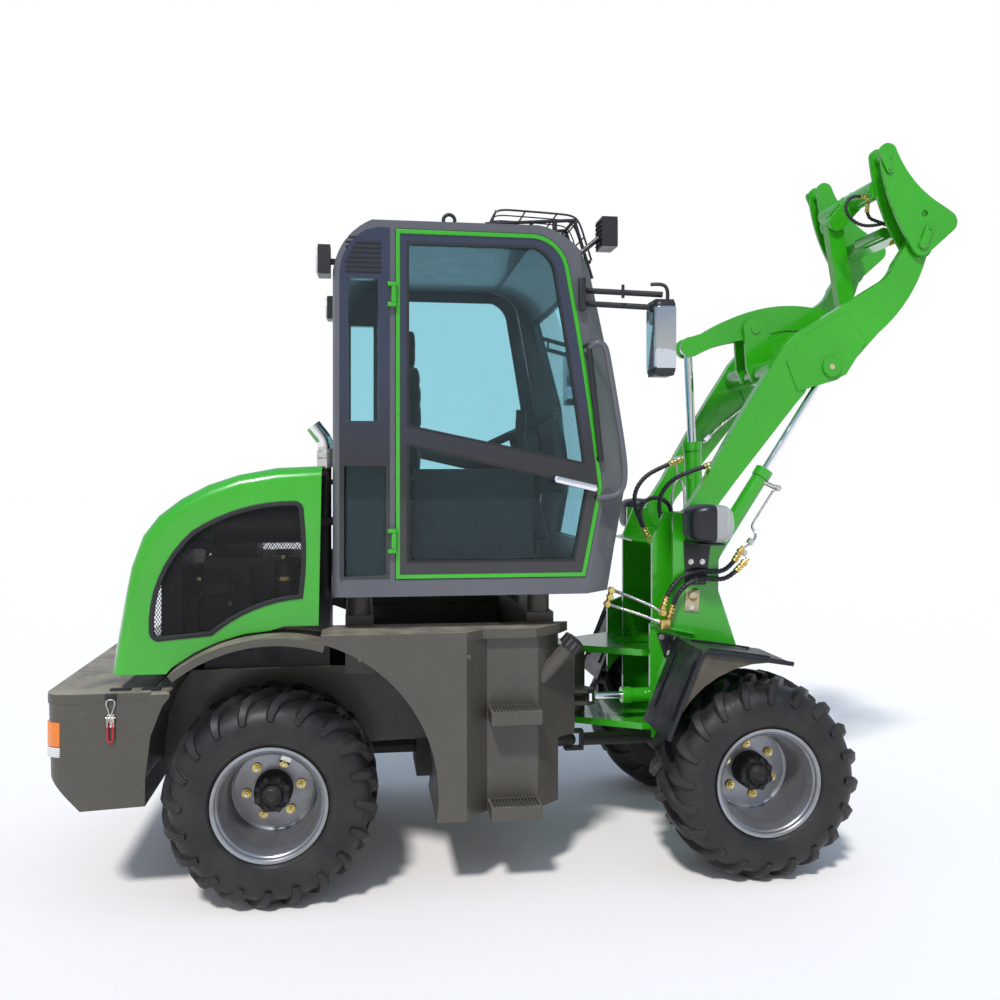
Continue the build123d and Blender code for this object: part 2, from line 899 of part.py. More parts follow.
with BuildPart() as cab_roof:
    add(cab_outer)
    add(roof_inner, mode=Mode.SUBTRACT)
    block(
        (rear_axle_x, -roof_half_width, roof_bottom_z),
        (rear_axle_x + 1400, roof_half_width, 2600),
        Mode.INTERSECT,
    )
finish(cab_roof.part, "cab_roof")

with BuildPart() as cab_frame:
    add(cab_outer)
    add(cab_hollow, mode=Mode.SUBTRACT)
    add(cab_roof.part, mode=Mode.SUBTRACT)
    window_cuts(0, Mode.SUBTRACT)
    side_cut(door_opening, 0, Mode.SUBTRACT)
    # shallow louvres at the top of each rear corner
    louvre_pitch = (louvre_z[1] - louvre_z[0]) / louvre_count
    for index in range(louvre_count):
        bottom = louvre_z[0] + index * louvre_pitch
        for hand in (-1, 1):
            low_y, high_y = sorted((hand * (cab_half_width - louvre_depth), hand * (cab_half_width + 1)))
            block(
                (rear_axle_x + louvre_x[0], low_y, bottom),
                (rear_axle_x + louvre_x[1], high_y, bottom + louvre_pitch * 0.55),
                Mode.SUBTRACT,
            )
    # lugs on the back wall that carry the hood's hinge pins
    for y in hood_hinge_places:
        lug_x = rear_axle_x + hood_hinge[0]
        for low_y in (y - hood_knuckle / 2 - hood_lug - 1, y + hood_knuckle / 2 + 1):
            block((lug_x - 8, low_y, hood_hinge[1] - 45), (lug_x + 10, low_y + hood_lug, hood_hinge[1] + 8))
            block(
                (lug_x - 8, low_y, hood_hinge[1] - 45),
                (rear_axle_x + cab_back + 1, low_y + hood_lug, hood_hinge[1] - 27),
            )
        cross_bar(
            rear_axle_x,
            hood_hinge,
            y - hood_knuckle / 2 - hood_lug - 3,
            y + hood_knuckle / 2 + hood_lug + 3,
            hood_pin_radius,
        )
    # two lugs and a pin at each door hinge
    for hand in (-1, 1):
        for z in hinge_z:
            bar((hinge_x, hand * hinge_y, z - 42), (hinge_x, hand * hinge_y, z + 42), hinge_pin_radius)
            low_y, high_y = sorted((hand * (cab_half_width - 1), hand * (hinge_y + 9)))
            for bottom in (z - 42, z + 31):
                block((hinge_x - 22, low_y, bottom), (hinge_x + 2, high_y, bottom + 11))
finish(cab_frame.part, "cab_frame")

# every fixed pane: one thin layer of the cab's form, kept where the windows are
with BuildPart() as pane_places:
    window_cuts(glass_seat_gap, Mode.ADD)
with BuildPart() as cab_glass:
    add(glass_outer)
    add(glass_inner, mode=Mode.SUBTRACT)
    add(pane_places.part, mode=Mode.INTERSECT)
finish(cab_glass.part, "cab_glass")


# doors: a deep frame round an upper and a lower pane, with a slanted bar between them
door_thickness = 42.0
door_panes = [
    [(500, 1760), (500, 2447), (985, 2446), ((1040, 2405), (1066, 2330)), ((1112, 2060), (1178, 1620))],
    [(500, 1250), (500, 1690), (1188, 1534), (1136, 1250)],
]
for hand, name in ((-1, "right"), (1, "left")):
    outer_y = hand * cab_half_width
    with BuildPart() as door:
        face = outline(side(rear_axle_x, outer_y), *door_opening, grow=-door_gap)
        extrude(face, amount=hand * door_thickness)
        for points in door_panes:
            extrude(
                outline(side(rear_axle_x, outer_y + hand), *points),
                amount=hand * (door_thickness + 2),
                mode=Mode.SUBTRACT,
            )
        # outer handle
        low_y, high_y = sorted((outer_y, outer_y + hand * 34))
        block((rear_axle_x + 985, low_y, 1600), (rear_axle_x + 1130, high_y, 1640))
        # hinge knuckles, with the leaf that joins each to the door
        for z in hinge_z:
            bar((hinge_x, hand * hinge_y, z - 30), (hinge_x, hand * hinge_y, z + 30), hinge_radius)
            low_y, high_y = sorted((outer_y, hand * (hinge_y + 4)))
            block((hinge_x, low_y, z - 30), (hinge_x + 60, high_y, z + 30))
            bar(
                (hinge_x, hand * hinge_y, z - 31),
                (hinge_x, hand * hinge_y, z + 31),
                hinge_pin_radius + running_gap,
                Mode.SUBTRACT,
            )
    finish(door.part, f"door_{name}")

    with BuildPart() as door_glass:
        pane_y = hand * (cab_half_width - glass_inset)
        for points in door_panes:
            face = outline(side(rear_axle_x, pane_y), *points, grow=-glass_seat_gap)
            extrude(face, amount=hand * glass_thickness)
    finish(door_glass.part, f"door_{name}_glass")


# seat base, steering column with its wheel, side console with a lever, and pedals
floor_top_z = cab_floor_z + cab_wall
seat_station = 690.0
seat_half_width = 235.0
seat_top_z = 1560.0
wheel_way = Vector(-0.42, 0, 0.91).normalized()
wheel_centre = Vector(rear_axle_x + 1010, 0, 1765)
steering_wheel_radius = 185.0
steering_grip_radius = 14.0
with BuildPart() as cab_interior:
    # pedestal and suspension box under the seat
    block(
        (rear_axle_x + seat_station - 190, -seat_half_width + 40, floor_top_z),
        (rear_axle_x + seat_station + 150, seat_half_width - 40, seat_top_z - 140),
    )
    block(
        (rear_axle_x + seat_station - 215, -seat_half_width + 15, seat_top_z - 140),
        (rear_axle_x + seat_station + 215, seat_half_width - 15, seat_top_z - 100),
    )
    # right-hand console with the arm's lever
    block(
        (rear_axle_x + seat_station - 150, -440, floor_top_z),
        (rear_axle_x + seat_station + 320, -290, 1600),
    )
    bar((rear_axle_x + 960, -365, 1600), (rear_axle_x + 970, -365, 1760), 13)
    bar((rear_axle_x + 970, -365, 1750), (rear_axle_x + 975, -365, 1840), 22)
    # column, dashboard and wheel
    bar(
        (rear_axle_x + 1145, 0, floor_top_z),
        tuple(wheel_centre),
        38,
    )
    block((rear_axle_x + 1090, -120, 1500), (rear_axle_x + 1190, 120, 1640))
    with BuildSketch(Plane(origin=tuple(wheel_centre), z_dir=tuple(wheel_way))):
        Circle(42)
        for degrees in (90, 210, 330):
            with PolarLocations(steering_wheel_radius / 2, 1, start_angle=degrees):
                Rectangle(steering_wheel_radius, 26)
    extrude(amount=9, both=True)
    with BuildSketch(Plane(origin=tuple(wheel_centre), x_dir=(0, 1, 0), z_dir=(wheel_way.Z, 0, -wheel_way.X))):
        with Locations((steering_wheel_radius, 0)):
            Circle(steering_grip_radius)
    revolve(axis=Axis(tuple(wheel_centre), tuple(wheel_way)))
    # pedals
    for y in (-190, 130):
        block((rear_axle_x + 1080, y, floor_top_z), (rear_axle_x + 1110, y + 70, 1290))
    add(cab_hollow, mode=Mode.INTERSECT)
finish(cab_interior.part, "cab_interior")

# seat pad, back rest and head rest
cushion_gap = 0.3
with BuildPart() as seat_cushions:
    block(
        (rear_axle_x + seat_station - 230, -seat_half_width, seat_top_z - 100 + cushion_gap),
        (rear_axle_x + seat_station + 240, seat_half_width, seat_top_z),
    )
    block(
        (rear_axle_x + seat_station - 230, -seat_half_width + 10, seat_top_z - 20),
        (rear_axle_x + seat_station - 110, seat_half_width - 10, 2040),
    )
    block(
        (rear_axle_x + seat_station - 220, -130, 2020),
        (rear_axle_x + seat_station - 130, 130, 2200),
    )
finish(seat_cushions.part, "seat_cushions")


# exhaust: an upright pipe behind the cab that turns back in a wide bright tip
exhaust_station = 190.0
exhaust_radius = 21.0
tip_radius = 31.0
with BuildPart() as exhaust:
    pipe_x = rear_axle_x + exhaust_station
    bar((pipe_x, exhaust_y, 1094), (pipe_x, exhaust_y, 1634), exhaust_radius)
    bar(
        (pipe_x, exhaust_y, 1094 + exhaust_radius),
        (pipe_x, engine_low[1], 1094 + exhaust_radius),
        exhaust_radius - 3,
    )
    bar((pipe_x, exhaust_y, 1608), (pipe_x, exhaust_y, 1640), tip_radius + 4)
    with BuildLine(side(rear_axle_x, exhaust_y)) as tip_path:
        FilletPolyline((190, 1628), (188, 1708), (140, 1770), radius=70)
    with BuildSketch(Plane(origin=tip_path.line @ 0, z_dir=tip_path.line % 0)):
        Circle(tip_radius)
        Circle(tip_radius - 4, mode=Mode.SUBTRACT)
    sweep()
    # clamp that holds the pipe to the cab's back wall
    block(
        (pipe_x - exhaust_radius - 6, exhaust_y - 30, 1380),
        (rear_axle_x + cab_back - 0.3, exhaust_y + 30, 1410),
    )
    add(cab_outer, mode=Mode.SUBTRACT)
finish(exhaust.part, "exhaust")


# ---------------------------------------------------------------- fittings on the cab

guard_stations = (822.0, 1180.0, 1230.0)
guard_top_z = 2606.0
guard_front_z = 2372.0
guard_half_width = 430.0
guard_wire_radius = 7.0
guard_wire_count = 6
rail_radius = 12.0
mirror_y = (cab_half_width + 99.0, cab_half_width + 199.0)
with BuildPart() as cab_fittings:
    # roof guard: wires that run forward above the roof and bend down over the windscreen's top
    for index in range(guard_wire_count):
        y = -guard_half_width + index * 2 * guard_half_width / (guard_wire_count - 1)
        back, bend, front = (rear_axle_x + station for station in guard_stations)
        bar((back, y, guard_top_z - 26), (bend, y, guard_top_z), guard_wire_radius)
        bar((bend, y, guard_top_z + 3), (front + 24, y, guard_front_z), guard_wire_radius)
    for station, z in ((guard_stations[0], guard_top_z - 26), (1010, guard_top_z - 13), (1180, guard_top_z)):
        bar(
            (rear_axle_x + station, -guard_half_width, z),
            (rear_axle_x + station, guard_half_width, z),
            guard_wire_radius,
        )
    bar(
        (rear_axle_x + 1244, -guard_half_width, 2440),
        (rear_axle_x + 1244, guard_half_width, 2440),
        guard_wire_radius,
    )
    for hand in (-1, 1):
        for station, top_z in ((guard_stations[0], guard_top_z - 26), (1100, guard_top_z - 4)):
            bar(
                (rear_axle_x + station, hand * guard_half_width, 2480),
                (rear_axle_x + station, hand * guard_half_width, top_z),
                guard_wire_radius + 3,
            )
        # lifting eye on the roof
        with Locations((rear_axle_x + 663, hand * (cab_half_width - 91), 2560)):
            with Locations(Rotation(90, 0, 0)):
                Torus(22, 7)
        bar((rear_axle_x + 663, hand * (cab_half_width - 91), 2520), (rear_axle_x + 663, hand * (cab_half_width - 91), 2546), 9)
        # grab rail along the front pillar
        rail_y = hand * (cab_half_width + 21)
        rail_ends = ((rear_axle_x + 1188, 2068), (rear_axle_x + 1238, 1640))
        bar(
            (rail_ends[0][0], rail_y, rail_ends[0][1] + rail_radius),
            (rail_ends[1][0], rail_y, rail_ends[1][1] - rail_radius),
            rail_radius,
        )
        for x, z in rail_ends:
            bar((x, rail_y, z), (x - 12, rail_y - hand * 52, z), rail_radius)
        # mirror arms and head
        arm_start_y = hand * (cab_half_width - 21)
        arm_end_y = hand * (mirror_y[0] + mirror_y[1]) / 2
        for z in (2240, 2290):
            bar((rear_axle_x + 1166, arm_start_y, z), (rear_axle_x + 1440, arm_end_y, z - 40), 11)
        low_y, high_y = sorted((hand * mirror_y[0], hand * mirror_y[1]))
        block((rear_axle_x + 1400, low_y, 1945), (rear_axle_x + 1470, high_y, 2225))
    # everything stops at the cab's outer face
    add(cab_outer, mode=Mode.SUBTRACT)
finish(cab_fittings.part, "cab_fittings")


# ---------------------------------------------------------------- lamps

with BuildPart() as work_lights:
    for hand in (-1, 1):
        lamp_middle = hand * (cab_half_width - 31)
        block(
            (rear_axle_x + 1242, lamp_middle - 55, 2454),
            (rear_axle_x + 1302, lamp_middle + 55, 2569),
        )
        bar((rear_axle_x + 1150, lamp_middle, 2420), (rear_axle_x + 1245, lamp_middle, 2500), 10)
        lamp_middle = hand * (cab_half_width - 81)
        block((rear_axle_x + 165, lamp_middle - 50, 2330), (rear_axle_x + 212, lamp_middle + 50, 2440))
        bar((rear_axle_x + 205, lamp_middle, 2385), (rear_axle_x + 260, lamp_middle, 2385), 12)
    add(cab_outer, mode=Mode.SUBTRACT)
finish(work_lights.part, "work_lights")


# ---------------------------------------------------------------- front frame

lift_base_pin_radius = 22.0
tilt_base_ear_gap = 28.0
tilt_base_ear = 18.0
front_wall_x = front_axle_x - 100
front_wall_thickness = 20.0
wheel_clearance_radius = 430.0
neck_bottom_z = joint_boss_bottom_z - moving_gap - neck_plate
neck_top_z = joint_boss_top_z + moving_gap
shelf_z = 1286.0
yoke_ear = 12.0
yoke_gap = joint_ball_radius + 2
tower_front = [(-110, 1418), (-28, 1315), (-68, 1218), (-70, 1092), (9, 858), (60, 600)]

with BuildPart() as front_frame:
    for hand in (-1, 1):
        # outer tower plate, cut back round the wheel
        slab(
            outline(
                side(front_axle_x, hand * (tower_outer_y + tower_plate / 2)),
                (-365, 480),
                (-365, 955),
                (-290, 985),
                (-268, 1040),
                (-266, 1418),
                *tower_front,
                (60, 480),
            ),
            tower_plate,
        )
        cross_bar(
            front_axle_x,
            (0, axle_z),
            hand * (tower_outer_y - 1),
            hand * (tower_outer_y + tower_plate + 1),
            wheel_clearance_radius,
            Mode.SUBTRACT,
        )
        # inner tower plate, standing on the axle
        slab(
            outline(
                side(front_axle_x, hand * (tower_inner_y - tower_plate / 2)),
                (-320, axle_z + axle_tube_radius),
                (-320, 1290),
                (-268, 1418),
                *tower_front,
                (60, axle_z + axle_tube_radius),
            ),
            tower_plate,
        )
        # web between the two plates
        low_y, high_y = sorted((hand * tower_inner_y, hand * tower_outer_y))
        block((front_wall_x, low_y, 760), (front_wall_x + front_wall_thickness, high_y, 960))
        # arm pivot pin and lift cylinder pin
        from_y = hand * (tower_inner_y - tower_plate - 4)
        to_y = hand * (tower_outer_y + tower_plate + 4)
        cross_bar(front_axle_x, arm_pivot, from_y, to_y, arm_pin_radius)
        cross_bar(front_axle_x, lift_base, from_y, to_y, lift_base_pin_radius)
    # wall across the middle
    block(
        (front_wall_x, -tower_inner_y + tower_plate, neck_bottom_z + neck_plate),
        (front_wall_x + front_wall_thickness, tower_inner_y - tower_plate, 1230),
    )
    # upper and lower neck plates round the frame joint, and the joint's pin
    for bottom in (neck_bottom_z, neck_top_z):
        extrude(
            outline(
                plan(front_axle_x, bottom),
                (front_joint_station, -95),
                (-365, -tower_inner_y),
                (-94, -tower_inner_y),
                (-94, tower_inner_y),
                (-365, tower_inner_y),
                (front_joint_station, 95),
            ),
            amount=neck_plate,
        )
        bar(
            (front_axle_x + front_joint_station, 0, bottom),
            (front_axle_x + front_joint_station, 0, bottom + neck_plate),
            95,
        )
    bar(
        (front_axle_x + front_joint_station, 0, neck_bottom_z),
        (front_axle_x + front_joint_station, 0, neck_top_z + neck_plate),
        joint_pin_radius,
    )
    # opening in the upper neck plate, and in the lower one over the axle's nose
    block((front_axle_x - 430, -90, neck_top_z - 1), (front_axle_x - 210, 90, neck_top_z + 40), Mode.SUBTRACT)
    # level shelf at the top, behind the arm pivot
    extrude(
        outline(
            plan(front_axle_x, shelf_z),
            (-205, -tower_inner_y + tower_plate - 1),
            (-330, -tower_inner_y + tower_plate - 1),
            (-380, -150),
            (-380, 150),
            (-330, tower_inner_y - tower_plate + 1),
            (-205, tower_inner_y - tower_plate + 1),
        ),
        amount=8,
    )
    # ears for the tilt cylinder's base
    for hand in (-1, 1):
        ear_y = hand * (tilt_base_ear_gap + tilt_base_ear / 2)
        slab(
            outline(
                side(front_axle_x, ear_y),
                (-90, 1060),
                (-90, 1230),
                (-80, 1300),
                (-37, 1330),
                (4, 1300),
                (0, 1250),
                (-80, 1060),
            ),
            tilt_base_ear,
        )
    cross_bar(
        front_axle_x,
        tilt_base,
        -tilt_base_ear_gap - tilt_base_ear - 4,
        tilt_base_ear_gap + tilt_base_ear + 4,
        linkage_pin_radius,
    )
    # level ears for the steering cylinder's base
    steer_base_x = front_axle_x + front_joint_station + steer_base[0]
    for bottom in (steer_z + ear_gap, steer_z - ear_gap - steer_ear_thickness):
        block(
            (steer_base_x - 26, steer_base[1] - 28, bottom),
            (front_wall_x, steer_base[1] + 28, bottom + steer_ear_thickness),
        )
    bar(
        (steer_base_x, steer_base[1], steer_z - ear_gap - steer_ear_thickness - 4),
        (steer_base_x, steer_base[1], steer_z + ear_gap + steer_ear_thickness + 4),
        steer_pin_radius,
    )
finish(front_frame.part, "front_frame")


# front half of the drive shaft, with a yoke above and below the ball
with BuildPart() as front_shaft:
    yoke_x = front_axle_x + front_joint_station
    bar((front_axle_x - nose_length, 0, shaft_z), (yoke_x + 62, 0, shaft_z), shaft_radius)
    block((yoke_x + 50, -24, shaft_z - yoke_gap - yoke_ear), (yoke_x + 62, 24, shaft_z + yoke_gap + yoke_ear))
    for bottom in (shaft_z + yoke_gap, shaft_z - yoke_gap - yoke_ear):
        block((yoke_x - 22, -24, bottom), (yoke_x + 62, 24, bottom + yoke_ear))
finish(front_shaft.part, "front_shaft")


# front fenders: a bent band over each wheel, on a bracket from the tower
band_sheet = 10.0
band_y = (405.0, 745.0)
with BuildPart() as front_fenders:
    for hand in (-1, 1):
        with BuildSketch(side(front_axle_x, hand * (band_y[0] + band_y[1]) / 2)):
            with BuildLine():
                band = Polyline((-405, 571), (-268, 908), (95, 850))
                offset(band, amount=band_sheet, side=Side.RIGHT)
            make_face()
        extrude(amount=(band_y[1] - band_y[0]) / 2, both=True)
        low_y, high_y = sorted((hand * (tower_outer_y + tower_plate), hand * (band_y[0] + 20)))
        block((front_axle_x - 258, low_y, 850), (front_axle_x - 210, high_y, 894))
finish(front_fenders.part, "front_fenders")


# headlamps on posts beside the tower
lamp_y = (412.0, 590.0)
lamp_x = (-252.0, -67.0)
lamp_z = (1302.0, 1459.0)
with BuildPart() as headlamps:
    for hand in (-1, 1):
        low_y, high_y = sorted(hand * y for y in lamp_y)
        block(
            (front_axle_x + lamp_x[0], low_y, lamp_z[0]),
            (front_axle_x + lamp_x[1], high_y, lamp_z[1]),
        )
        low_y, high_y = sorted((hand * (tower_outer_y + tower_plate), hand * 470))
        block((front_axle_x - 190, low_y, 1222), (front_axle_x - 140, high_y, 1240))
        low_y, high_y = sorted((hand * 452, hand * 470))
        block((front_axle_x - 190, low_y, 1222), (front_axle_x - 140, high_y, lamp_z[0] + 10))
    front_edges = headlamps.edges().filter_by(Axis.Y).group_by(Axis.X)[-1]
    fillet(front_edges, 25)
finish(headlamps.part, "headlamps")


# ---------------------------------------------------------------- lift arm

arm_upper_edge = [
    (-108, 1558),
    ((45, 1824), (204, 2073)),
    ((272, 2161), (362, 2220)),
    (690, 2420),
    ((729, 2456), (749, 2498)),
    (791, 2561),
    (808, 2595),
]
arm_lower_edge = [
    (898, 2548),
    (892, 2520),
    ((800, 2332), (675, 2196)),
    (520, 2030),
    ((458, 1999), (387, 1985)),
    (298, 1888),
    (28, 1555),
    (-51, 1453),
]
arm_root_radius = 72.0
arm_tip_radius = 57.0
lift_slot_radius = 98.0
lowest_lift_degrees = -94.0
lift_swing_ratio = 0.905  # turn of the lift cylinders for each degree of the arm
lift_slot_width = 34.0
cross_tube_centre = (250.0, 2037.0)
cross_tube_radius = 50.0
rocker_hub_radius = 42.0
rocker_ear_gap = 52.0
rocker_ear = 18.0
rocker_ear_shape = [(165, 2215), (175, 2060), (200, 2000), (300, 2000), (310, 2090), (268, 2225)]

# lift cylinder's line with the arm right down, as the arm itself sees it
gland_step = 5.0
lift_way, lift_length = aim(lift_base, lift_eye)
low_base = turned(lift_base, arm_pivot, -lowest_lift_degrees)
low_way = turned(lift_way, (0, 0), lowest_lift_degrees * (lift_swing_ratio - 1))
low_barrel_start = along(low_base, low_way, lift_barrel_length - 150)
low_barrel_end = along(low_base, low_way, lift_barrel_length + moving_gap)

with BuildPart() as boom:
    for hand in (-1, 1):
        centre_plane = side(front_axle_x, hand * arm_y)
        slab(
            outline(centre_plane, (-200, 1420), *arm_upper_edge, *arm_lower_edge, (-100, 1330)),
            arm_thickness,
        )
        slab(disc(centre_plane, arm_pivot, arm_root_radius), 2 * (tower_outer_y - arm_y - pin_side_gap))
        slab(disc(centre_plane, coupler_pivot, arm_tip_radius), arm_thickness)
        # cheeks round the lift cylinder's upper eye
        cheek = outline(
            centre_plane,
            (300, 1935),
            (250, 2060),
            (330, 2170),
            (520, 2280),
            (610, 2150),
            (520, 2010),
            (451, 1978),
        )
        slab(cheek, lift_slot_width + 2 * cheek_thickness)
        slab(disc(centre_plane, lift_eye, 60), lift_slot_width + 2 * cheek_thickness)
        slab(disc(centre_plane, lift_eye, 42), lift_slot_width + 2 * cheek_thickness + 24)
        # slot that is open below, wide enough for the eye to wander
        slab(disc(centre_plane, lift_eye, lift_slot_radius), lift_slot_width, Mode.SUBTRACT)
        slab(
            outline(
                centre_plane,
                (lift_eye[0] - lift_slot_radius - 30, lift_eye[1]),
                (lift_eye[0] + lift_slot_radius, lift_eye[1]),
                (lift_eye[0] + lift_slot_radius, 1800),
                (lift_eye[0] - lift_slot_radius - 30, 1800),
            ),
            lift_slot_width,
            Mode.SUBTRACT,
        )
        # hollow in the lower edge for the barrel's end, where it comes with the arm right down
        bar(
            (front_axle_x + low_barrel_start[0], hand * arm_y, low_barrel_start[1]),
            (front_axle_x + low_barrel_end[0], hand * arm_y, low_barrel_end[1]),
            lift_barrel_radius + gland_step + moving_gap,
            Mode.SUBTRACT,
        )
        for centre, radius in ((arm_pivot, arm_pin_radius), (coupler_pivot, coupler_pin_radius)):
            slab(
                disc(centre_plane, centre, radius + running_gap),
                2 * arm_thickness + 20,
                Mode.SUBTRACT,
            )
    cross_bar(
        front_axle_x,
        cross_tube_centre,
        -arm_y + arm_thickness / 2,
        arm_y - arm_thickness / 2,
        cross_tube_radius,
    )
    # rocker ears on the cross tube, and the rocker's pin
    for hand in (-1, 1):
        ear_plane = side(front_axle_x, hand * (rocker_ear_gap + rocker_ear / 2))
        slab(outline(ear_plane, *rocker_ear_shape), rocker_ear)
        slab(disc(ear_plane, rocker_pivot, 56), rocker_ear)
    cross_bar(
        front_axle_x,
        rocker_pivot,
        -rocker_ear_gap - rocker_ear - 6,
        rocker_ear_gap + rocker_ear + 6,
        linkage_pin_radius,
    )
finish(boom.part, "boom")


# ---------------------------------------------------------------- rocker, link and coupler

rocker_shape = [
    (-100, 2192),
    (-8, 2222),
    ((110, 2286), (238, 2329)),
    ((372, 2349), (508, 2342)),
    ((632, 2304), (740, 2240)),
    (690, 2188),
    ((453, 2241), (217, 2192)),
    ((85, 2171), (-55, 2115)),
]
rocker_back_radius = 45.0
rocker_front_radius = 42.0
with BuildPart() as rocker:
    for hand in (-1, 1):
        plate_plane = side(front_axle_x, hand * (rocker_inner_y + rocker_plate / 2))
        slab(outline(plate_plane, *rocker_shape), rocker_plate)
        slab(disc(plate_plane, rocker_back_pin, rocker_back_radius), rocker_plate)
        slab(disc(plate_plane, rocker_front_pin, rocker_front_radius), rocker_plate)
    # hub on the arm's pin, a web ahead of it, and the link's pin
    hub_half_width = rocker_ear_gap - pin_side_gap
    cross_bar(front_axle_x, rocker_pivot, -hub_half_width, hub_half_width, rocker_hub_radius)
    cross_bar(
        front_axle_x,
        rocker_pivot,
        -hub_half_width - 1,
        hub_half_width + 1,
        linkage_pin_radius + running_gap,
        Mode.SUBTRACT,
    )
    block(
        (front_axle_x + 330, -rocker_inner_y, 2285),
        (front_axle_x + 520, rocker_inner_y, 2305),
    )
    cross_bar(
        front_axle_x,
        rocker_front_pin,
        -rocker_inner_y - rocker_plate - 6,
        rocker_inner_y + rocker_plate + 6,
        linkage_pin_radius,
    )
finish(rocker.part, "rocker")

link_end_radius = 38.0
link_way, link_length = aim(rocker_front_pin, link_top_pin)
link_side = (link_way[1], -link_way[0])
with BuildPart() as link:
    corners = [
        along(along(end, link_side, sign * link_end_radius), link_way, 0)
        for end, sign in (
            (rocker_front_pin, 1),
            (link_top_pin, 1),
            (link_top_pin, -1),
            (rocker_front_pin, -1),
        )
    ]
    slab(outline(side(front_axle_x), *corners), 2 * link_half_width)
    for end in (rocker_front_pin, link_top_pin):
        slab(disc(side(front_axle_x), end, link_end_radius), 2 * link_half_width)
    slab(
        disc(side(front_axle_x), rocker_front_pin, linkage_pin_radius + running_gap),
        2 * link_half_width + 2,
        Mode.SUBTRACT,
    )
finish(link.part, "link")

coupler_shape = [
    (664, 2976),
    ((702, 3011), (744, 2979)),
    ((826, 2852), (957, 2751)),
    (1000, 2724),
    ((1025, 2683), (1008, 2644)),
    (892, 2543),
    ((856, 2528), (823, 2546)),
    (797, 2590),
    ((710, 2766), (664, 2976)),
]
coupler_tube_centre = (710.0, 2841.0)
coupler_ear_y = (31.0, 49.0)
lock_bar_radius = 24.0
lock_bar_centre = (782.0, 2668.0)
with BuildPart() as coupler:
    for hand in (-1, 1):
        for inner in (coupler_outer_y, coupler_inner_y - coupler_plate):
            plate_plane = side(front_axle_x, hand * (inner + coupler_plate / 2))
            slab(outline(plate_plane, *coupler_shape), coupler_plate)
            slab(
                disc(plate_plane, lock_pin_hole, lock_pin_radius),
                coupler_plate + 2,
                Mode.SUBTRACT,
            )
        inner_face = hand * (coupler_inner_y - coupler_plate)
        outer_face = hand * (coupler_outer_y + coupler_plate)
        cross_bar(front_axle_x, hook_pin, inner_face, outer_face + hand * 6, hook_pin_radius)
        cross_bar(front_axle_x, coupler_pivot, inner_face, outer_face + hand * 6, coupler_pin_radius)
        # centre ears for the link
        low_y, high_y = sorted(hand * y for y in coupler_ear_y)
        slab(
            outline(
                side(front_axle_x, (low_y + high_y) / 2),
                (link_top_pin[0] - 20, link_top_pin[1] + 34),
                (coupler_tube_centre[0] - 20, coupler_tube_centre[1] + 40),
                (coupler_tube_centre[0] + 30, coupler_tube_centre[1] - 30),
                (link_top_pin[0] + 20, link_top_pin[1] - 34),
            ),
            high_y - low_y,
        )
        slab(
            disc(side(front_axle_x, (low_y + high_y) / 2), link_top_pin, 38),
            high_y - low_y,
        )
    inner_face = coupler_inner_y - coupler_plate
    cross_bar(front_axle_x, coupler_tube_centre, -inner_face, inner_face, coupler_tube_radius)
    # lower beam with the lock cylinder along it
    block((front_axle_x + 800, -inner_face, 2640), (front_axle_x + 880, inner_face, 2690))
    cross_bar(front_axle_x, lock_bar_centre, -170, 60, lock_bar_radius)
finish(coupler.part, "coupler")


# ---------------------------------------------------------------- cylinders

gland_length = 40.0
piston_rest = 15.0
barrel_neck = 14.0


def cylinder_barrel(plane, base, way, eye_radius, eye_width, pin_radius, radius, length, bore):
    """Barrel from its base eye along a way, bored for its rod, with a thicker end."""
    slab(disc(plane, base, eye_radius), eye_width)
    origin = plane.from_local_coords((base[0], base[1], 0))
    heading = plane.x_dir * way[0] + plane.y_dir * way[1]
    shoulder = tuple(origin + heading * (eye_radius + barrel_neck))
    bar(tuple(origin), shoulder, min(radius, eye_width / 2) - 2)
    bar(shoulder, tuple(origin + heading * length), radius)
    gland_start = origin + heading * (length - gland_length)
    bar(tuple(gland_start), tuple(origin + heading * length), radius + gland_step)
    bar(
        tuple(origin + heading * (eye_radius + piston_rest)),
        tuple(origin + heading * (length + 1)),
        bore,
        Mode.SUBTRACT,
    )
    slab(disc(plane, base, pin_radius + running_gap), eye_width + 2, Mode.SUBTRACT)


def cylinder_rod(plane, base, way, start, eye, eye_radius, eye_width, radius):
    """Rod from inside the barrel to the eye at its far end."""
    origin = plane.from_local_coords((base[0], base[1], 0))
    heading = plane.x_dir * way[0] + plane.y_dir * way[1]
    far_end = plane.from_local_coords((eye[0], eye[1], 0))
    bar(tuple(origin + heading * start), tuple(far_end), radius)
    slab(disc(plane, eye, eye_radius), eye_width)


lift_eye_width = 2 * (tower_outer_y - arm_y - pin_side_gap)
lift_rod_start = 455.0
with BuildPart() as lift_barrels:
    for hand in (-1, 1):
        cylinder_barrel(
            side(front_axle_x, hand * arm_y),
            lift_base,
            lift_way,
            lift_eye_radius + 6,
            lift_eye_width,
            lift_base_pin_radius,
            lift_barrel_radius,
            lift_barrel_length,
            lift_rod_radius + running_gap,
        )
finish(lift_barrels.part, "lift_barrels")

with BuildPart() as lift_rods:
    for hand in (-1, 1):
        cylinder_rod(
            side(front_axle_x, hand * arm_y),
            lift_base,
            lift_way,
            lift_rod_start,
            lift_eye,
            lift_eye_radius,
            lift_slot_width - 2 * pin_side_gap,
            lift_rod_radius,
        )
finish(lift_rods.part, "lift_rods")

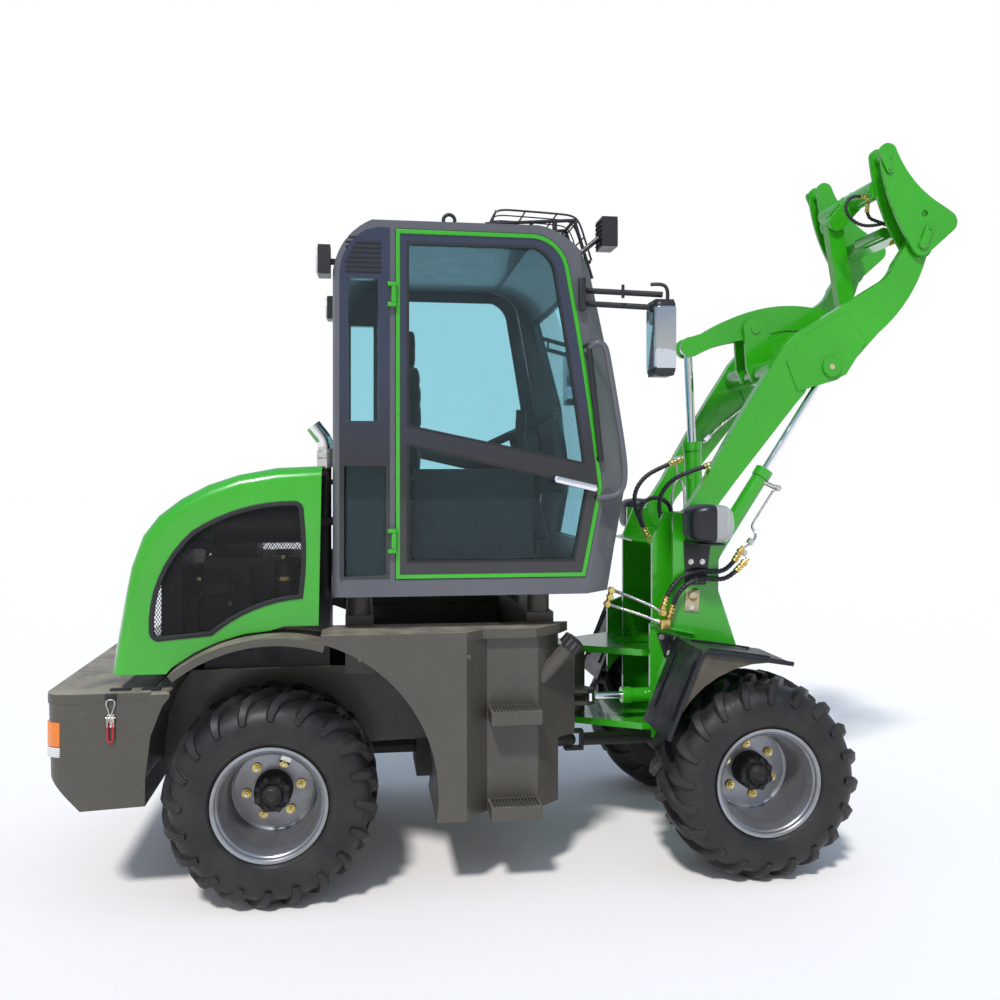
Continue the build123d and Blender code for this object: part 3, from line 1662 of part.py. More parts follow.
tilt_way, tilt_length = aim(tilt_base, rocker_back_pin)
tilt_rod_start = 275.0
with BuildPart() as tilt_barrel:
    cylinder_barrel(
        side(front_axle_x),
        tilt_base,
        tilt_way,
        tilt_eye_radius + 4,
        2 * (tilt_base_ear_gap - pin_side_gap),
        linkage_pin_radius,
        tilt_barrel_radius,
        tilt_barrel_length,
        tilt_rod_radius + running_gap,
    )
finish(tilt_barrel.part, "tilt_barrel")

with BuildPart() as tilt_rod:
    cylinder_rod(
        side(front_axle_x),
        tilt_base,
        tilt_way,
        tilt_rod_start,
        rocker_back_pin,
        tilt_eye_radius,
        2 * (rocker_inner_y - pin_side_gap),
        tilt_rod_radius,
    )
finish(tilt_rod.part, "tilt_rod")

steer_plane = plan(front_axle_x + front_joint_station, steer_z)
steer_way, steer_length = aim(steer_base, steer_eye)
steer_rod_start = 165.0
with BuildPart() as steer_barrel:
    cylinder_barrel(
        steer_plane,
        steer_base,
        steer_way,
        steer_eye_radius,
        steer_eye_width,
        steer_pin_radius,
        steer_barrel_radius,
        steer_barrel_length,
        steer_rod_radius + running_gap,
    )
finish(steer_barrel.part, "steer_barrel")

with BuildPart() as steer_rod:
    cylinder_rod(
        steer_plane,
        steer_base,
        steer_way,
        steer_rod_start,
        steer_eye,
        steer_eye_radius,
        steer_eye_width,
        steer_rod_radius,
    )
finish(steer_rod.part, "steer_rod")
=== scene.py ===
"""A compact articulated wheel loader with a raised lift arm and a quick coupler, dressed over its frame."""

import math

import bpy
import bmesh
from mathutils import Matrix, Vector


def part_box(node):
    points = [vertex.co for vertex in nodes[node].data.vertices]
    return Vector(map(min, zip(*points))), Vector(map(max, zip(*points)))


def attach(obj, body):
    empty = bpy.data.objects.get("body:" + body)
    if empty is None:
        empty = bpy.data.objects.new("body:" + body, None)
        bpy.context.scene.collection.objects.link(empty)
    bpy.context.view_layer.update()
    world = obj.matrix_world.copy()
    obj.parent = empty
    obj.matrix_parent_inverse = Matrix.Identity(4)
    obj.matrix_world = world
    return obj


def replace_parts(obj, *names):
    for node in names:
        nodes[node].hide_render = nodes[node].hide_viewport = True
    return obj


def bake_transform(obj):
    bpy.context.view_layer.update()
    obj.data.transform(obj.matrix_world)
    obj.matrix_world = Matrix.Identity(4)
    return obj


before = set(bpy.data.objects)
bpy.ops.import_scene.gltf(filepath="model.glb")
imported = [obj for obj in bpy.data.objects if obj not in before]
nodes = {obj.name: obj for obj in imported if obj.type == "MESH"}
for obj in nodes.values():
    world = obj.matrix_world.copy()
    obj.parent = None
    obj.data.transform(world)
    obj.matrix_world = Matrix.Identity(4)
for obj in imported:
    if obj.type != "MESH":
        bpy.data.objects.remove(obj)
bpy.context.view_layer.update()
scene = bpy.context.scene
scene.view_settings.view_transform = "Standard"


# ------------------------------------------------------------------ the yard it stands in
# A pale level floor with plain soft light from above, the machine seen from its right-hand side.
# The floor is stage only, and the four tyres stand on it.


def middle_of(name, axis):
    """The middle of a CAD node's box along one axis."""
    low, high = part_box(name)
    return (low[axis] + high[axis]) / 2


rear_axle_x = middle_of("tyre_rear_right", 0)
eye_ahead, eye_away, eye_height = 0.320, 4.395, 1.58
eye_turn = math.radians(-8)
camera_data = bpy.data.cameras.new("viewer")
camera = bpy.data.objects.new("viewer", camera_data)
scene.collection.objects.link(camera)
camera_data.lens = 36.0
camera_data.sensor_width = 36.0
camera_data.clip_end = 100.0
camera_data.shift_y = -0.026
camera.location = (rear_axle_x + eye_ahead, -eye_away, eye_height)
camera.rotation_euler = (math.radians(90), 0, eye_turn)
scene.camera = camera


class Tap:
    """A node's value: sums on it add Math nodes, and node() brings any other node."""

    def __init__(self, socket):
        self.socket = socket

    def node(self, kind, settings=None, inputs=None, output=0):
        tree = self.socket.id_data
        made = tree.nodes.new(kind)
        for name, value in (settings or {}).items():
            setattr(made, name, value)
        for key, value in (inputs or {}).items():
            if isinstance(value, Tap):
                tree.links.new(value.socket, made.inputs[key])
            else:
                made.inputs[key].default_value = value
        return Tap(made.outputs[output])

    def sum(self, operation, *values):
        return self.node("ShaderNodeMath", {"operation": operation}, dict(enumerate(values)))

    def __add__(self, other):
        return self.sum("ADD", self, other)

    __radd__ = __add__

    def __mul__(self, other):
        return self.sum("MULTIPLY", self, other)

    __rmul__ = __mul__

    def noise(self, scale, detail=4.0, roughness=0.6):
        """Soft noise over the surface, from 0 to 1."""
        inputs = {"Vector": self, "Scale": scale, "Detail": detail, "Roughness": roughness}
        return self.node("ShaderNodeTexNoise", {"noise_dimensions": "3D"}, inputs)

    def smooth(self, low, high, to_low=0.0, to_high=1.0):
        """This value taken from one span to another, held at both ends."""
        settings = {"interpolation_type": "SMOOTHSTEP"}
        return self.node("ShaderNodeMapRange", settings, {0: self, 1: low, 2: high, 3: to_low, 4: to_high})

    def patches(self, scale, low, high):
        """A value that drifts between two in soft patches over the surface."""
        return self.noise(scale).smooth(0.3, 0.7, low, high)

    def blend(self, first, second):
        """A colour that goes from the first to the second with this value."""
        ends = [end if isinstance(end, Tap) else (*end, 1.0) for end in (first, second)]
        settings = {"data_type": "RGBA", "clamp_factor": True}
        return self.node("ShaderNodeMix", settings, {0: self, 6: ends[0], 7: ends[1]}, output=2)

    def part(self, axis):
        """One coordinate of this vector: 0, 1 or 2."""
        return self.node("ShaderNodeSeparateXYZ", {}, {0: self}, output=axis)


world = bpy.data.worlds.new("open_shade")
scene.world = world
world.use_nodes = True
world_tree = world.node_tree
background = world_tree.nodes["Background"]
ray = Tap(world_tree.nodes.new("ShaderNodeLightPath").outputs["Is Camera Ray"])
seen = ray + Tap(ray.socket.node.outputs["Is Transmission Ray"])
height = Tap(world_tree.nodes.new("ShaderNodeTexCoord").outputs["Generated"]).part(2)
white, high_blue = (1.0, 1.0, 1.0), (0.50, 0.66, 0.90)
shade_strength = 0.66
open_sky = seen.blend(height.smooth(-0.05, 0.75).blend(white, high_blue), white)
world_tree.links.new(open_sky.socket, background.inputs["Color"])
world_tree.links.new(seen.smooth(0.0, 1.0, shade_strength, 1.0).socket, background.inputs["Strength"])

sun_data = bpy.data.lights.new("high_sun", "SUN")
sun_data.energy = 2.5
sun_data.angle = math.radians(7)
sun = bpy.data.objects.new("high_sun", sun_data)
sun.rotation_euler = (math.radians(36), math.radians(-18), 0)
scene.collection.objects.link(sun)

ground_reach = 60.0
ground_mesh = bpy.data.meshes.new("ground")
corners = [(x * ground_reach, y * ground_reach, 0) for x, y in ((-1, -1), (1, -1), (1, 1), (-1, 1))]
ground_mesh.from_pydata(corners, [], [(0, 1, 2, 3)])
ground = bpy.data.objects.new("ground", ground_mesh)
scene.collection.objects.link(ground)
ground_finish = bpy.data.materials.new("pale_ground")
ground_finish.use_nodes = True
ground_shader = ground_finish.node_tree.nodes["Principled BSDF"]
ground_shader.inputs["Base Color"].default_value = (0.995, 0.94, 0.90, 1.0)
ground_shader.inputs["Roughness"].default_value = 0.95
ground_shader.inputs["Specular IOR Level"].default_value = 0.0
ground_mesh.materials.append(ground_finish)


# ------------------------------------------------------------------ wheels
# Wide farm tyres with slanted curved lugs, moulded in black rubber that has dried dust on it, on
# deep silver steel rims. Each rim is held by six yellow nuts round a cast black hub with a cap.


def new_finish(name, **sockets):
    """A material with its plain sockets set, its shader, and the surface's own coordinates."""
    material = bpy.data.materials.new(name)
    material.use_nodes = True
    shader = material.node_tree.nodes["Principled BSDF"]
    for socket, value in sockets.items():
        label = socket.replace("_", " ").title().replace("Ior", "IOR")
        shader.inputs[label].default_value = (*value, 1.0) if isinstance(value, tuple) else value
    place = Tap(material.node_tree.nodes.new("ShaderNodeTexCoord").outputs["Object"])
    return material, shader, place


def feed(shader, **taps):
    """Link shader values to the sockets that may change over a surface."""
    for socket, tap in taps.items():
        shader.id_data.links.new(tap.socket, shader.inputs[socket.replace("_", " ").title()])


def bump(height, strength, distance, edge=None):
    """A normal that follows a height, over edges softened to a radius."""
    inputs = {"Strength": strength, "Distance": distance, "Height": height}
    if edge:
        inputs["Normal"] = height.node("ShaderNodeBevel", {"samples": 4}, {"Radius": edge})
    return height.node("ShaderNodeBump", {}, inputs)


def metal(name, colour, roughness, grain=180.0, stain=(0.5, 0.5, 0.5)):
    """Bare or plated metal: fine grain, and duller clouded patches."""
    material, shader, place = new_finish(name, metallic=1.0)
    cloud = place.noise(24.0, 5.0).smooth(0.42, 0.72)
    tint = cloud.blend(colour, [c * s for c, s in zip(colour, stain)])
    rough = cloud.smooth(0.0, 1.0, roughness, roughness + 0.16)
    feed(shader, base_color=tint, roughness=rough, normal=bump(place.noise(grain, 2.0), 0.08, 0.0004, 0.001))
    return material


def skin(form, rings, capped=True, looped=False):
    """Faces between rings of corners, each joined to the next, with the ends closed."""
    pairs = list(zip(rings, rings[1:])) + ([(rings[-1], rings[0])] if looped else [])
    for near, far in pairs:
        for k in range(max(len(near), len(far))):
            corners = [near[k % len(near)], near[(k + 1) % len(near)], far[(k + 1) % len(far)], far[k % len(far)]]
            corners = list(dict.fromkeys(corners))
            if len(corners) > 2:
                form.faces.new(corners)
    if capped and not looped:
        for end in (rings[0], rings[-1]):
            if len(end) > 2:
                form.faces.new(end)


def lathe(form, profile, middle, way, segments=48, looped=False):
    """A turned part: (radius, distance along the way) pairs spun about a line through the middle."""
    way = Vector(way).normalized()
    side = way.orthogonal().normalized()
    across = way.cross(side)
    rings = []
    for radius, along in profile:
        centre = Vector(middle) + way * along
        turns = [2 * math.pi * k / segments for k in range(segments)] if radius > 1e-6 else [0.0]
        ring = [centre + (side * math.cos(a) + across * math.sin(a)) * radius for a in turns]
        rings.append([form.verts.new(corner) for corner in ring])
    skin(form, rings, looped=looped)


def rod(form, start, end, radius, segments=20, chamfer=0.0):
    """A round bar between two points, its ends chamfered."""
    length = (Vector(end) - Vector(start)).length
    profile = [(radius - chamfer, 0), (radius, chamfer), (radius, length - chamfer), (radius - chamfer, length)]
    lathe(form, profile if chamfer else profile[1:3], start, Vector(end) - Vector(start), segments)


def placed(name, body, finish, mesh, crease=35):
    """A finished mesh as a piece that moves with a body and takes a finish."""
    mesh.materials.clear()
    mesh.materials.append(finish)
    mesh.polygons.foreach_set("use_smooth", [True] * len(mesh.polygons))
    mesh.set_sharp_from_angle(angle=math.radians(crease))
    made = bpy.data.objects.new(name, mesh)
    scene.collection.objects.link(made)
    if body:
        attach(made, body)
    return made


def piece(name, body, finish, form, crease=35):
    """A piece from the form built for it, with its faces turned outwards."""
    bmesh.ops.recalc_face_normals(form, faces=form.faces)
    mesh = bpy.data.meshes.new(name)
    form.to_mesh(mesh)
    form.free()
    return placed(name, body, finish, mesh, crease)


def repeater(name, sizes, shape):
    """A tree that sets a shape on each point, turned to the point's facing and as long as its span."""
    tree = bpy.data.node_groups.new(name, "GeometryNodeTree")
    tree.interface.new_socket("Geometry", in_out="INPUT", socket_type="NodeSocketGeometry")
    for size in sizes:
        tree.interface.new_socket(size, in_out="INPUT", socket_type="NodeSocketFloat")
    tree.interface.new_socket("Finish", in_out="INPUT", socket_type="NodeSocketMaterial")
    tree.interface.new_socket("Geometry", in_out="OUTPUT", socket_type="NodeSocketGeometry")
    entry = tree.nodes.new("NodeGroupInput")
    points = Tap(entry.outputs["Geometry"])
    reader = "GeometryNodeInputNamedAttribute"
    facing = points.node(reader, {"data_type": "FLOAT_VECTOR"}, {"Name": "facing"})
    span = points.node(reader, {"data_type": "FLOAT"}, {"Name": "span"})
    turn = points.node("FunctionNodeAlignRotationToVector", {"axis": "Z"}, {"Vector": facing})
    scale = points.node("ShaderNodeCombineXYZ", {}, {0: 1.0, 1: 1.0, 2: span})
    one = shape(*[Tap(entry.outputs[size]) for size in sizes])
    inputs = {"Points": points, "Instance": one, "Rotation": turn, "Scale": scale}
    copies = points.node("GeometryNodeInstanceOnPoints", {}, inputs)
    real = points.node("GeometryNodeRealizeInstances", {}, {0: copies})
    inputs = {"Geometry": real, "Material": Tap(entry.outputs["Finish"])}
    done = points.node("GeometryNodeSetMaterial", {}, inputs)
    tree.links.new(done.socket, tree.nodes.new("NodeGroupOutput").inputs[0])
    return tree


def repeated(name, body, finish, tree, sizes, places, crease=35):
    """One mesh of all the copies: places are (point, facing, span)."""
    mesh = bpy.data.meshes.new(name)
    mesh.from_pydata([tuple(point) for point, facing, span in places], [], [])
    mesh.attributes.new("facing", "FLOAT_VECTOR", "POINT")
    mesh.attributes.new("span", "FLOAT", "POINT")
    for k, (point, facing, span) in enumerate(places):
        mesh.attributes["facing"].data[k].vector = facing
        mesh.attributes["span"].data[k].value = span
    holder = bpy.data.objects.new(name + "_points", mesh)
    scene.collection.objects.link(holder)
    modifier = holder.modifiers.new("repeat", "NODES")
    modifier.node_group = tree
    for item in tree.interface.items_tree:
        if item.in_out == "INPUT" and item.name in sizes:
            modifier[item.identifier] = sizes[item.name]
        if item.in_out == "INPUT" and item.name == "Finish":
            modifier[item.identifier] = finish
    seen_whole = holder.evaluated_get(bpy.context.evaluated_depsgraph_get())
    whole = bpy.data.meshes.new_from_object(seen_whole)
    bpy.data.objects.remove(holder)
    return placed(name, body, finish, whole, crease)


def hex_head(radius, height):
    """A six-sided head on a round washer, standing on its point."""
    head = radius.node("GeometryNodeMeshCylinder", {}, {"Vertices": 6, "Radius": radius, "Depth": height})
    washer_sizes = {"Vertices": 20, "Radius": radius * 1.4, "Depth": height * 0.3}
    washer = radius.node("GeometryNodeMeshCylinder", {}, washer_sizes)
    lifted = radius.node("ShaderNodeCombineXYZ", {}, {2: height * 0.5})
    raised = radius.node("GeometryNodeTransform", {}, {"Geometry": head, "Translation": lifted})
    both = radius.node("GeometryNodeJoinGeometry", {}, {0: raised})
    radius.socket.id_data.links.new(washer.socket, both.socket.node.inputs[0])
    return both


bolts = repeater("hex_bolts", ["Head radius", "Head height"], hex_head)
lugs_per_side = 20
pitch = 360 / lugs_per_side
# one lug in steps outwards: from the middle, radius, slant in degrees, lean, half width, depth
lug_line = (
    (0.006, 0.388, 0.0, 0.0, 0.016, 0.026),
    (0.050, 0.391, 4.0, 0.0, 0.0165, 0.028),
    (0.098, 0.389, 8.5, 0.15, 0.017, 0.030),
    (0.140, 0.381, 12.0, 0.5, 0.017, 0.030),
    (0.170, 0.362, 14.5, 0.85, 0.016, 0.027),
    (0.188, 0.334, 16.5, 0.97, 0.014, 0.018),
    (0.1955, 0.306, 17.5, 1.0, 0.010, 0.008),
)
# the casing from bead to crown, and the rim from lip to lip: radius, and distance from the middle
carcass_half = (
    (0.204, 0.166), (0.214, 0.178), (0.224, 0.1875), (0.230, 0.1865), (0.236, 0.189), (0.262, 0.1925),
    (0.296, 0.190), (0.326, 0.179), (0.348, 0.160), (0.361, 0.130), (0.366, 0.060),
)
rim_line = (
    (0.209, 0.182), (0.198, 0.182), (0.194, 0.178), (0.192, 0.166), (0.187, 0.162), (0.183, 0.165),
    (0.172, 0.138), (0.169, 0.126), (0.163, 0.000), (0.156, -0.020), (0.146, -0.026), (0.060, -0.026),
    (0.060, -0.036), (0.160, -0.036), (0.172, -0.050), (0.180, -0.120), (0.188, -0.160), (0.200, -0.182),
    (0.209, -0.182), (0.209, -0.176), (0.198, -0.166), (0.198, 0.166), (0.209, 0.176),
)
hub_line = [(0, 0.078), (0.022, 0.078), (0.026, 0.074), (0.034, 0.073), (0.040, 0.066), (0.042, 0.056)]
hub_line += [(0.060, 0.052), (0.066, 0.046), (0.070, 0.030), (0.072, -0.024), (0.060, -0.034), (0, -0.034)]
clip_fold = [(0.0, -0.020), (0.016, 0.000), (0.038, 0.004), (0.046, -0.016)]
clip_section = ((-0.020, 0), (0.020, 0), (0.020, 0.002), (-0.020, 0.002))
hub_screw_circle, nut_circle, nut_seat = 0.057, 0.102, -0.018
lug_top, lug_root, lug_chamfer = 0.82, 1.45, 0.004

rubber, rubber_shader, place = new_finish("dusty_rubber", specular_ior_level=0.45)
streaks = place.node("ShaderNodeVectorMath", {"operation": "MULTIPLY"}, {0: place, 1: (1.0, 0.35, 1.0)})
dust = streaks.noise(7.0, 8.0, 0.7).smooth(0.40, 0.74)
grime = dust.blend((0.0110, 0.0105, 0.0108), (0.036, 0.031, 0.028))
feed(
    rubber_shader,
    base_color=grime,
    roughness=dust.smooth(0.0, 1.0, 0.46, 0.82),
    normal=bump(place.noise(140.0, 5.0), 0.22, 0.0012, 0.003),
)
silver, silver_shader, place = new_finish("silver_rim_paint", metallic=0.7, coat_weight=0.3, coat_roughness=0.1)
drift = place.noise(5.0, 4.0)
feed(
    silver_shader,
    base_color=drift.smooth(0.35, 0.7).blend((0.33, 0.34, 0.37), (0.24, 0.235, 0.23)),
    roughness=drift.smooth(0.3, 0.7, 0.28, 0.44),
    normal=bump(place.noise(420.0, 2.0), 0.05, 0.0004, 0.0015),
)
cast_black, cast_shader, place = new_finish("cast_black", specular_ior_level=0.4)
feed(
    cast_shader,
    base_color=place.noise(30.0, 4.0).smooth(0.4, 0.7).blend((0.010, 0.010, 0.010), (0.026, 0.024, 0.022)),
    roughness=place.patches(12.0, 0.42, 0.7),
    normal=bump(place.noise(90.0, 5.0), 0.3, 0.001, 0.002),
)
yellow_zinc = metal("yellow_zinc", (0.78, 0.60, 0.20), 0.28, stain=(0.7, 0.6, 0.5))
bright_zinc = metal("bright_zinc", (0.74, 0.72, 0.68), 0.26, stain=(0.7, 0.66, 0.6))
chrome = metal("chrome", (0.86, 0.87, 0.90), 0.06, 60.0, (0.94, 0.94, 0.95))

axle_z = middle_of("tyre_rear_right", 2)
for wheel in ("rear_right", "rear_left", "front_right", "front_left"):
    body = "wheel_" + wheel
    tyre_node, rim_node = "tyre_" + wheel, "rim_" + wheel
    hand = -1 if wheel.endswith("right") else 1
    centre = Vector((middle_of(tyre_node, 0), middle_of(tyre_node, 1), axle_z))
    outward = Vector((0, hand, 0))
    form = bmesh.new()
    shell = [(r, y) for r, y in carcass_half] + [(r, -y) for r, y in reversed(carcass_half)]
    lathe(form, shell, centre, outward, 90, looped=True)
    for side in (-1, 1):
        for k in range(lugs_per_side):
            start = k * pitch + (pitch / 2 if side > 0 else 0)
            tops, ups = [], []
            for y, r, slant, lean, width, depth in lug_line:
                turn = math.radians(start + slant)
                out = Vector((-math.sin(turn), 0, math.cos(turn)))
                tops.append(centre + out * r + Vector((0, side * y, 0)))
                ups.append((out * (1.02 - lean) + Vector((0, side * lean, 0))).normalized())
            rings = []
            for i, (y, r, slant, lean, width, depth) in enumerate(lug_line):
                ahead = (tops[min(i + 1, len(tops) - 1)] - tops[max(i - 1, 0)]).normalized()
                wide = ahead.cross(ups[i]).normalized() * width
                low = tops[i] - ups[i] * depth
                corners = (
                    tops[i] - wide * lug_top,
                    tops[i] + wide * lug_top,
                    tops[i] + wide - ups[i] * lug_chamfer,
                    low + wide * lug_root,
                    low - wide * lug_root,
                    tops[i] - wide - ups[i] * lug_chamfer,
                )
                rings.append([form.verts.new(corner) for corner in corners])
            skin(form, rings)
    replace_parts(piece("lugged_tyre_" + wheel, body, rubber, form, 32), tyre_node)

    form = bmesh.new()
    lathe(form, rim_line, centre, outward, 72, looped=True)
    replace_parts(piece("deep_rim_" + wheel, body, silver, form, 18), rim_node)

    form = bmesh.new()
    lathe(form, hub_line, centre, outward, 40)
    for k in range(8):
        turn = 2 * math.pi * (k + 0.5) / 8
        spot = Vector((math.cos(turn) * hub_screw_circle, 0, math.sin(turn) * hub_screw_circle))
        foot = centre + spot + outward * 0.030
        rod(form, foot, foot + outward * 0.030, 0.0125, 16, 0.003)
    piece("cast_hub_" + wheel, body, cast_black, form, 40)

    places = []
    for k in range(6):
        turn = math.radians(60 * k + (8 if wheel.startswith("rear") else 38))
        spot = Vector((math.cos(turn) * nut_circle, 0, math.sin(turn) * nut_circle))
        places.append((centre + spot + outward * nut_seat, outward, 1.0))
    sizes = {"Head radius": 0.0125, "Head height": 0.013}
    repeated("wheel_nuts_" + wheel, body, yellow_zinc, bolts, sizes, places)
    form = bmesh.new()
    for point, facing, span in places:
        rod(form, point - outward * 0.012, point + outward * 0.024, 0.0062, 14, 0.001)
    clip_turn = math.radians(68 if wheel.startswith("rear") else 118)
    out = Vector((math.cos(clip_turn), 0, math.sin(clip_turn)))
    across = outward.cross(out)
    root = centre + out * 0.100
    rings = []
    for away, lift in clip_fold:
        mid = root + out * away + outward * lift
        rings.append([form.verts.new(mid + across * w + outward * t) for w, t in clip_section])
    skin(form, rings)
    piece("wheel_studs_" + wheel, body, bright_zinc, form)


# ------------------------------------------------------------------ chassis, axles and driveline
# Welded plate frames and cast axles. The rear frame, tanks and arches are sprayed a warm dark grey,
# and pale yard dust lies on what faces up.


def dress(finish, *names):
    """CAD solids kept as they are, in this finish."""
    for name in names:
        nodes[name].data.materials.clear()
        nodes[name].data.materials.append(finish)


def facing_up(place):
    """From 0 on a side to 1 on a face that looks up."""
    return place.node("ShaderNodeNewGeometry", {}, {}, output=1).part(2).smooth(0.45, 0.98)


def enamel(name, colour, roughness, coat, dust=0.0, dust_colour=(0.36, 0.31, 0.23), edge=0.0025):
    """Sprayed enamel: a slow drift in shade, orange peel, softened edges, and dust on what faces up."""
    material, shader, place = new_finish(name, coat_weight=coat, coat_roughness=0.07)
    drift = place.noise(1.7, 3.0).smooth(0.3, 0.72)
    shade = drift.blend([c * 0.90 for c in colour], [c * 1.06 for c in colour])
    rough = place.noise(14.0, 5.0).smooth(0.35, 0.7, roughness, roughness + 0.08)
    if dust:
        lying = facing_up(place) * place.noise(6.0, 8.0, 0.65).smooth(0.25, 0.68) * dust
        splash = place.noise(38.0, 6.0, 0.7).smooth(0.55, 0.80) * (dust * 0.16)
        settled = lying + splash
        shade = settled.blend(shade, dust_colour)
        rough = rough + settled * 0.35
    feed(shader, base_color=shade, roughness=rough, normal=bump(place.noise(240.0, 2.0), 0.06, 0.0004, edge))
    return material


warm_grey = enamel("warm_grey_enamel", (0.076, 0.068, 0.055), 0.40, 0.12, dust=0.95)
under_grey = enamel("underside_paint", (0.030, 0.029, 0.027), 0.55, 0.0, dust=0.5)
dress(warm_grey, "rear_chassis", "counterweight", "rear_fenders", "side_tanks", "steps")
dress(under_grey, "rear_axle", "front_axle", "driveline", "front_shaft")
dress(chrome, "steer_rod")


# ------------------------------------------------------------------ counterweight
# A thick cast block behind the engine with a lid, closed by a spring latch on each side. Its back
# corners carry a lamp with an orange and a clear lens, and two rubber strips lie on its lid.


def rear(x, y, z):
    """A point given in millimetres from the rear axle, the middle line and the floor."""
    return Vector((rear_axle_x + x / 1000, y / 1000, z / 1000))


def standing(point, marks, y):
    """Points of a flat line drawn as (x, z), stood lengthwise at a distance from the middle line."""
    return [point(x, y, z) for x, z in marks]


def prism(form, ring, push, edge=0.0):
    """A solid between a flat outline and the same outline moved, with its edges rounded."""
    rings = [[form.verts.new(Vector(p) + Vector(push) * k) for p in ring] for k in (0, 1)]
    before = set(form.faces)
    skin(form, rings)
    if edge:
        edges = list(dict.fromkeys(e for f in form.faces if f not in before for e in f.edges))
        bmesh.ops.bevel(form, geom=edges, offset=edge, segments=2, profile=0.5, affect="EDGES", clamp_overlap=True)


def block(form, low, high, edge=0.0):
    """A squared block between two corners, with its edges rounded."""
    (ax, ay, az), (bx, by, bz) = low, high
    prism(form, [(ax, ay, az), (bx, ay, az), (bx, by, az), (ax, by, az)], (0, 0, bz - az), edge)


def bend(points, start, middle, end, steps=8):
    """An arc through three flat points, added to a run of points."""
    (ax, ay), (bx, by), (cx, cy) = start, middle, end
    d = 2 * (ax * (by - cy) + bx * (cy - ay) + cx * (ay - by))
    a2, b2, c2 = ax * ax + ay * ay, bx * bx + by * by, cx * cx + cy * cy
    ox = (a2 * (by - cy) + b2 * (cy - ay) + c2 * (ay - by)) / d
    oy = (a2 * (cx - bx) + b2 * (ax - cx) + c2 * (bx - ax)) / d
    radius = math.hypot(ax - ox, ay - oy)
    first, via, last = [math.atan2(y - oy, x - ox) for x, y in (start, middle, end)]
    onward = (via - first) % (2 * math.pi) < (last - first) % (2 * math.pi)
    sweep_angle = (last - first) % (2 * math.pi) if onward else -((first - last) % (2 * math.pi))
    for k in range(1, steps + 1):
        angle = first + sweep_angle * k / steps
        points.append((ox + radius * math.cos(angle), oy + radius * math.sin(angle)))


def line_through(points, steps=8):
    """The smooth line of a NURBS spline that these points control."""
    curve = bpy.data.curves.new("route", "CURVE")
    curve.dimensions = "3D"
    curve.resolution_u = steps
    spline = curve.splines.new("NURBS")
    spline.points.add(len(points) - 1)
    for point, spot in zip(spline.points, points):
        point.co = (*spot, 1.0)
    spline.order_u = 3
    spline.use_endpoint_u = True
    spline.resolution_u = steps
    holder = bpy.data.objects.new("route", curve)
    scene.collection.objects.link(holder)
    flat = holder.evaluated_get(bpy.context.evaluated_depsgraph_get())
    line = [vertex.co.copy() for vertex in bpy.data.meshes.new_from_object(flat).vertices]
    bpy.data.objects.remove(holder)
    return line


def sweep(form, line, girth, segments=12):
    """A tube along a line, with girth(along, around) as its radius, and closed ends."""
    side = (line[1] - line[0]).orthogonal().normalized()
    along, rings = 0.0, []
    for i, spot in enumerate(line):
        ahead = (line[min(i + 1, len(line) - 1)] - line[max(i - 1, 0)]).normalized()
        side = (side - ahead * side.dot(ahead)).normalized()
        across = ahead.cross(side)
        along += (spot - line[i - 1]).length if i else 0.0
        ring = []
        for k in range(segments):
            a = 2 * math.pi * k / segments
            ring.append(form.verts.new(spot + (side * math.cos(a) + across * math.sin(a)) * girth(along, a)))
        rings.append(ring)
    skin(form, rings)


def pipe(form, points, radius, segments=10):
    """A rigid pipe of one radius through bends."""
    sweep(form, line_through(points), lambda along, around: radius, segments)


seal_black, seal_shader, place = new_finish("seal_rubber", base_color=(0.012, 0.012, 0.013), roughness=0.6)
feed(seal_shader, normal=bump(place.noise(160.0, 3.0), 0.15, 0.0005))
red_sleeve, red_shader, place = new_finish("red_vinyl", roughness=0.32)
feed(red_shader, base_color=place.noise(60.0).blend((0.62, 0.012, 0.015), (0.40, 0.008, 0.012)))


def lens(name, colour, scale):
    """A moulded lens with fine ribs, its colour darkened between them as painted shade."""
    material, shader, place = new_finish(name, roughness=0.12, coat_weight=0.6, specular_ior_level=0.6)
    settings = {"wave_type": "BANDS", "bands_direction": "Z"}
    ribs = place.node("ShaderNodeTexWave", settings, {"Vector": place, "Scale": scale}, output=1)
    # painted shade: the colour falls to 0.62 of itself in the grooves between the ribs
    shade = ribs.blend([c * 0.62 for c in colour], colour)
    feed(shader, base_color=shade, normal=bump(ribs, 0.4, 0.002))
    return material


amber_lens = lens("amber_lens", (0.95, 0.24, 0.012), 55.0)
clear_lens = lens("clear_lens", (0.78, 0.76, 0.74), 40.0)
lid_side, lid_foot, lid_top = 621, 748, 786
lid = [(-432, lid_side), (-735, lid_side)]
bend(lid, (-735, lid_side), (-784, 601), (-804, 552), 6)
form = bmesh.new()
ring = [rear(x, -y, lid_foot) for x, y in lid] + [rear(x, y, lid_foot) for x, y in reversed(lid)]
prism(form, ring, (0, 0, 0.040), 0.006)
piece("ballast_lid", "rear_frame", warm_grey, form)
form = bmesh.new()
for side in (-1, 1):
    for back, ahead in ((-583, -510), (-470, -405)):
        block(form, rear(back, side * 560, lid_top), rear(ahead, side * 588, lid_top + 9), 0.002)
    block(form, rear(-589, side * 617, 764), rear(-550, side * 628, lid_top), 0.002)
piece("lid_rubbers", "rear_frame", seal_black, form)
form, red, amber, clear = (bmesh.new() for _ in range(4))
hook = [(-569, 702), (-563, 722), (-553, 748), (-556, 764), (-569, 766)]
hook += [(-582, 764), (-585, 748), (-575, 722), (-570, 702)]
loop = [(-578, 684), (-579, 640), (-578, 618), (-569, 612), (-560, 618), (-559, 640), (-560, 684)]
corner = [(-746, 623), (-776, 610), (-796, 590), (-806, 560), (-790, 540), (-740, 600)]
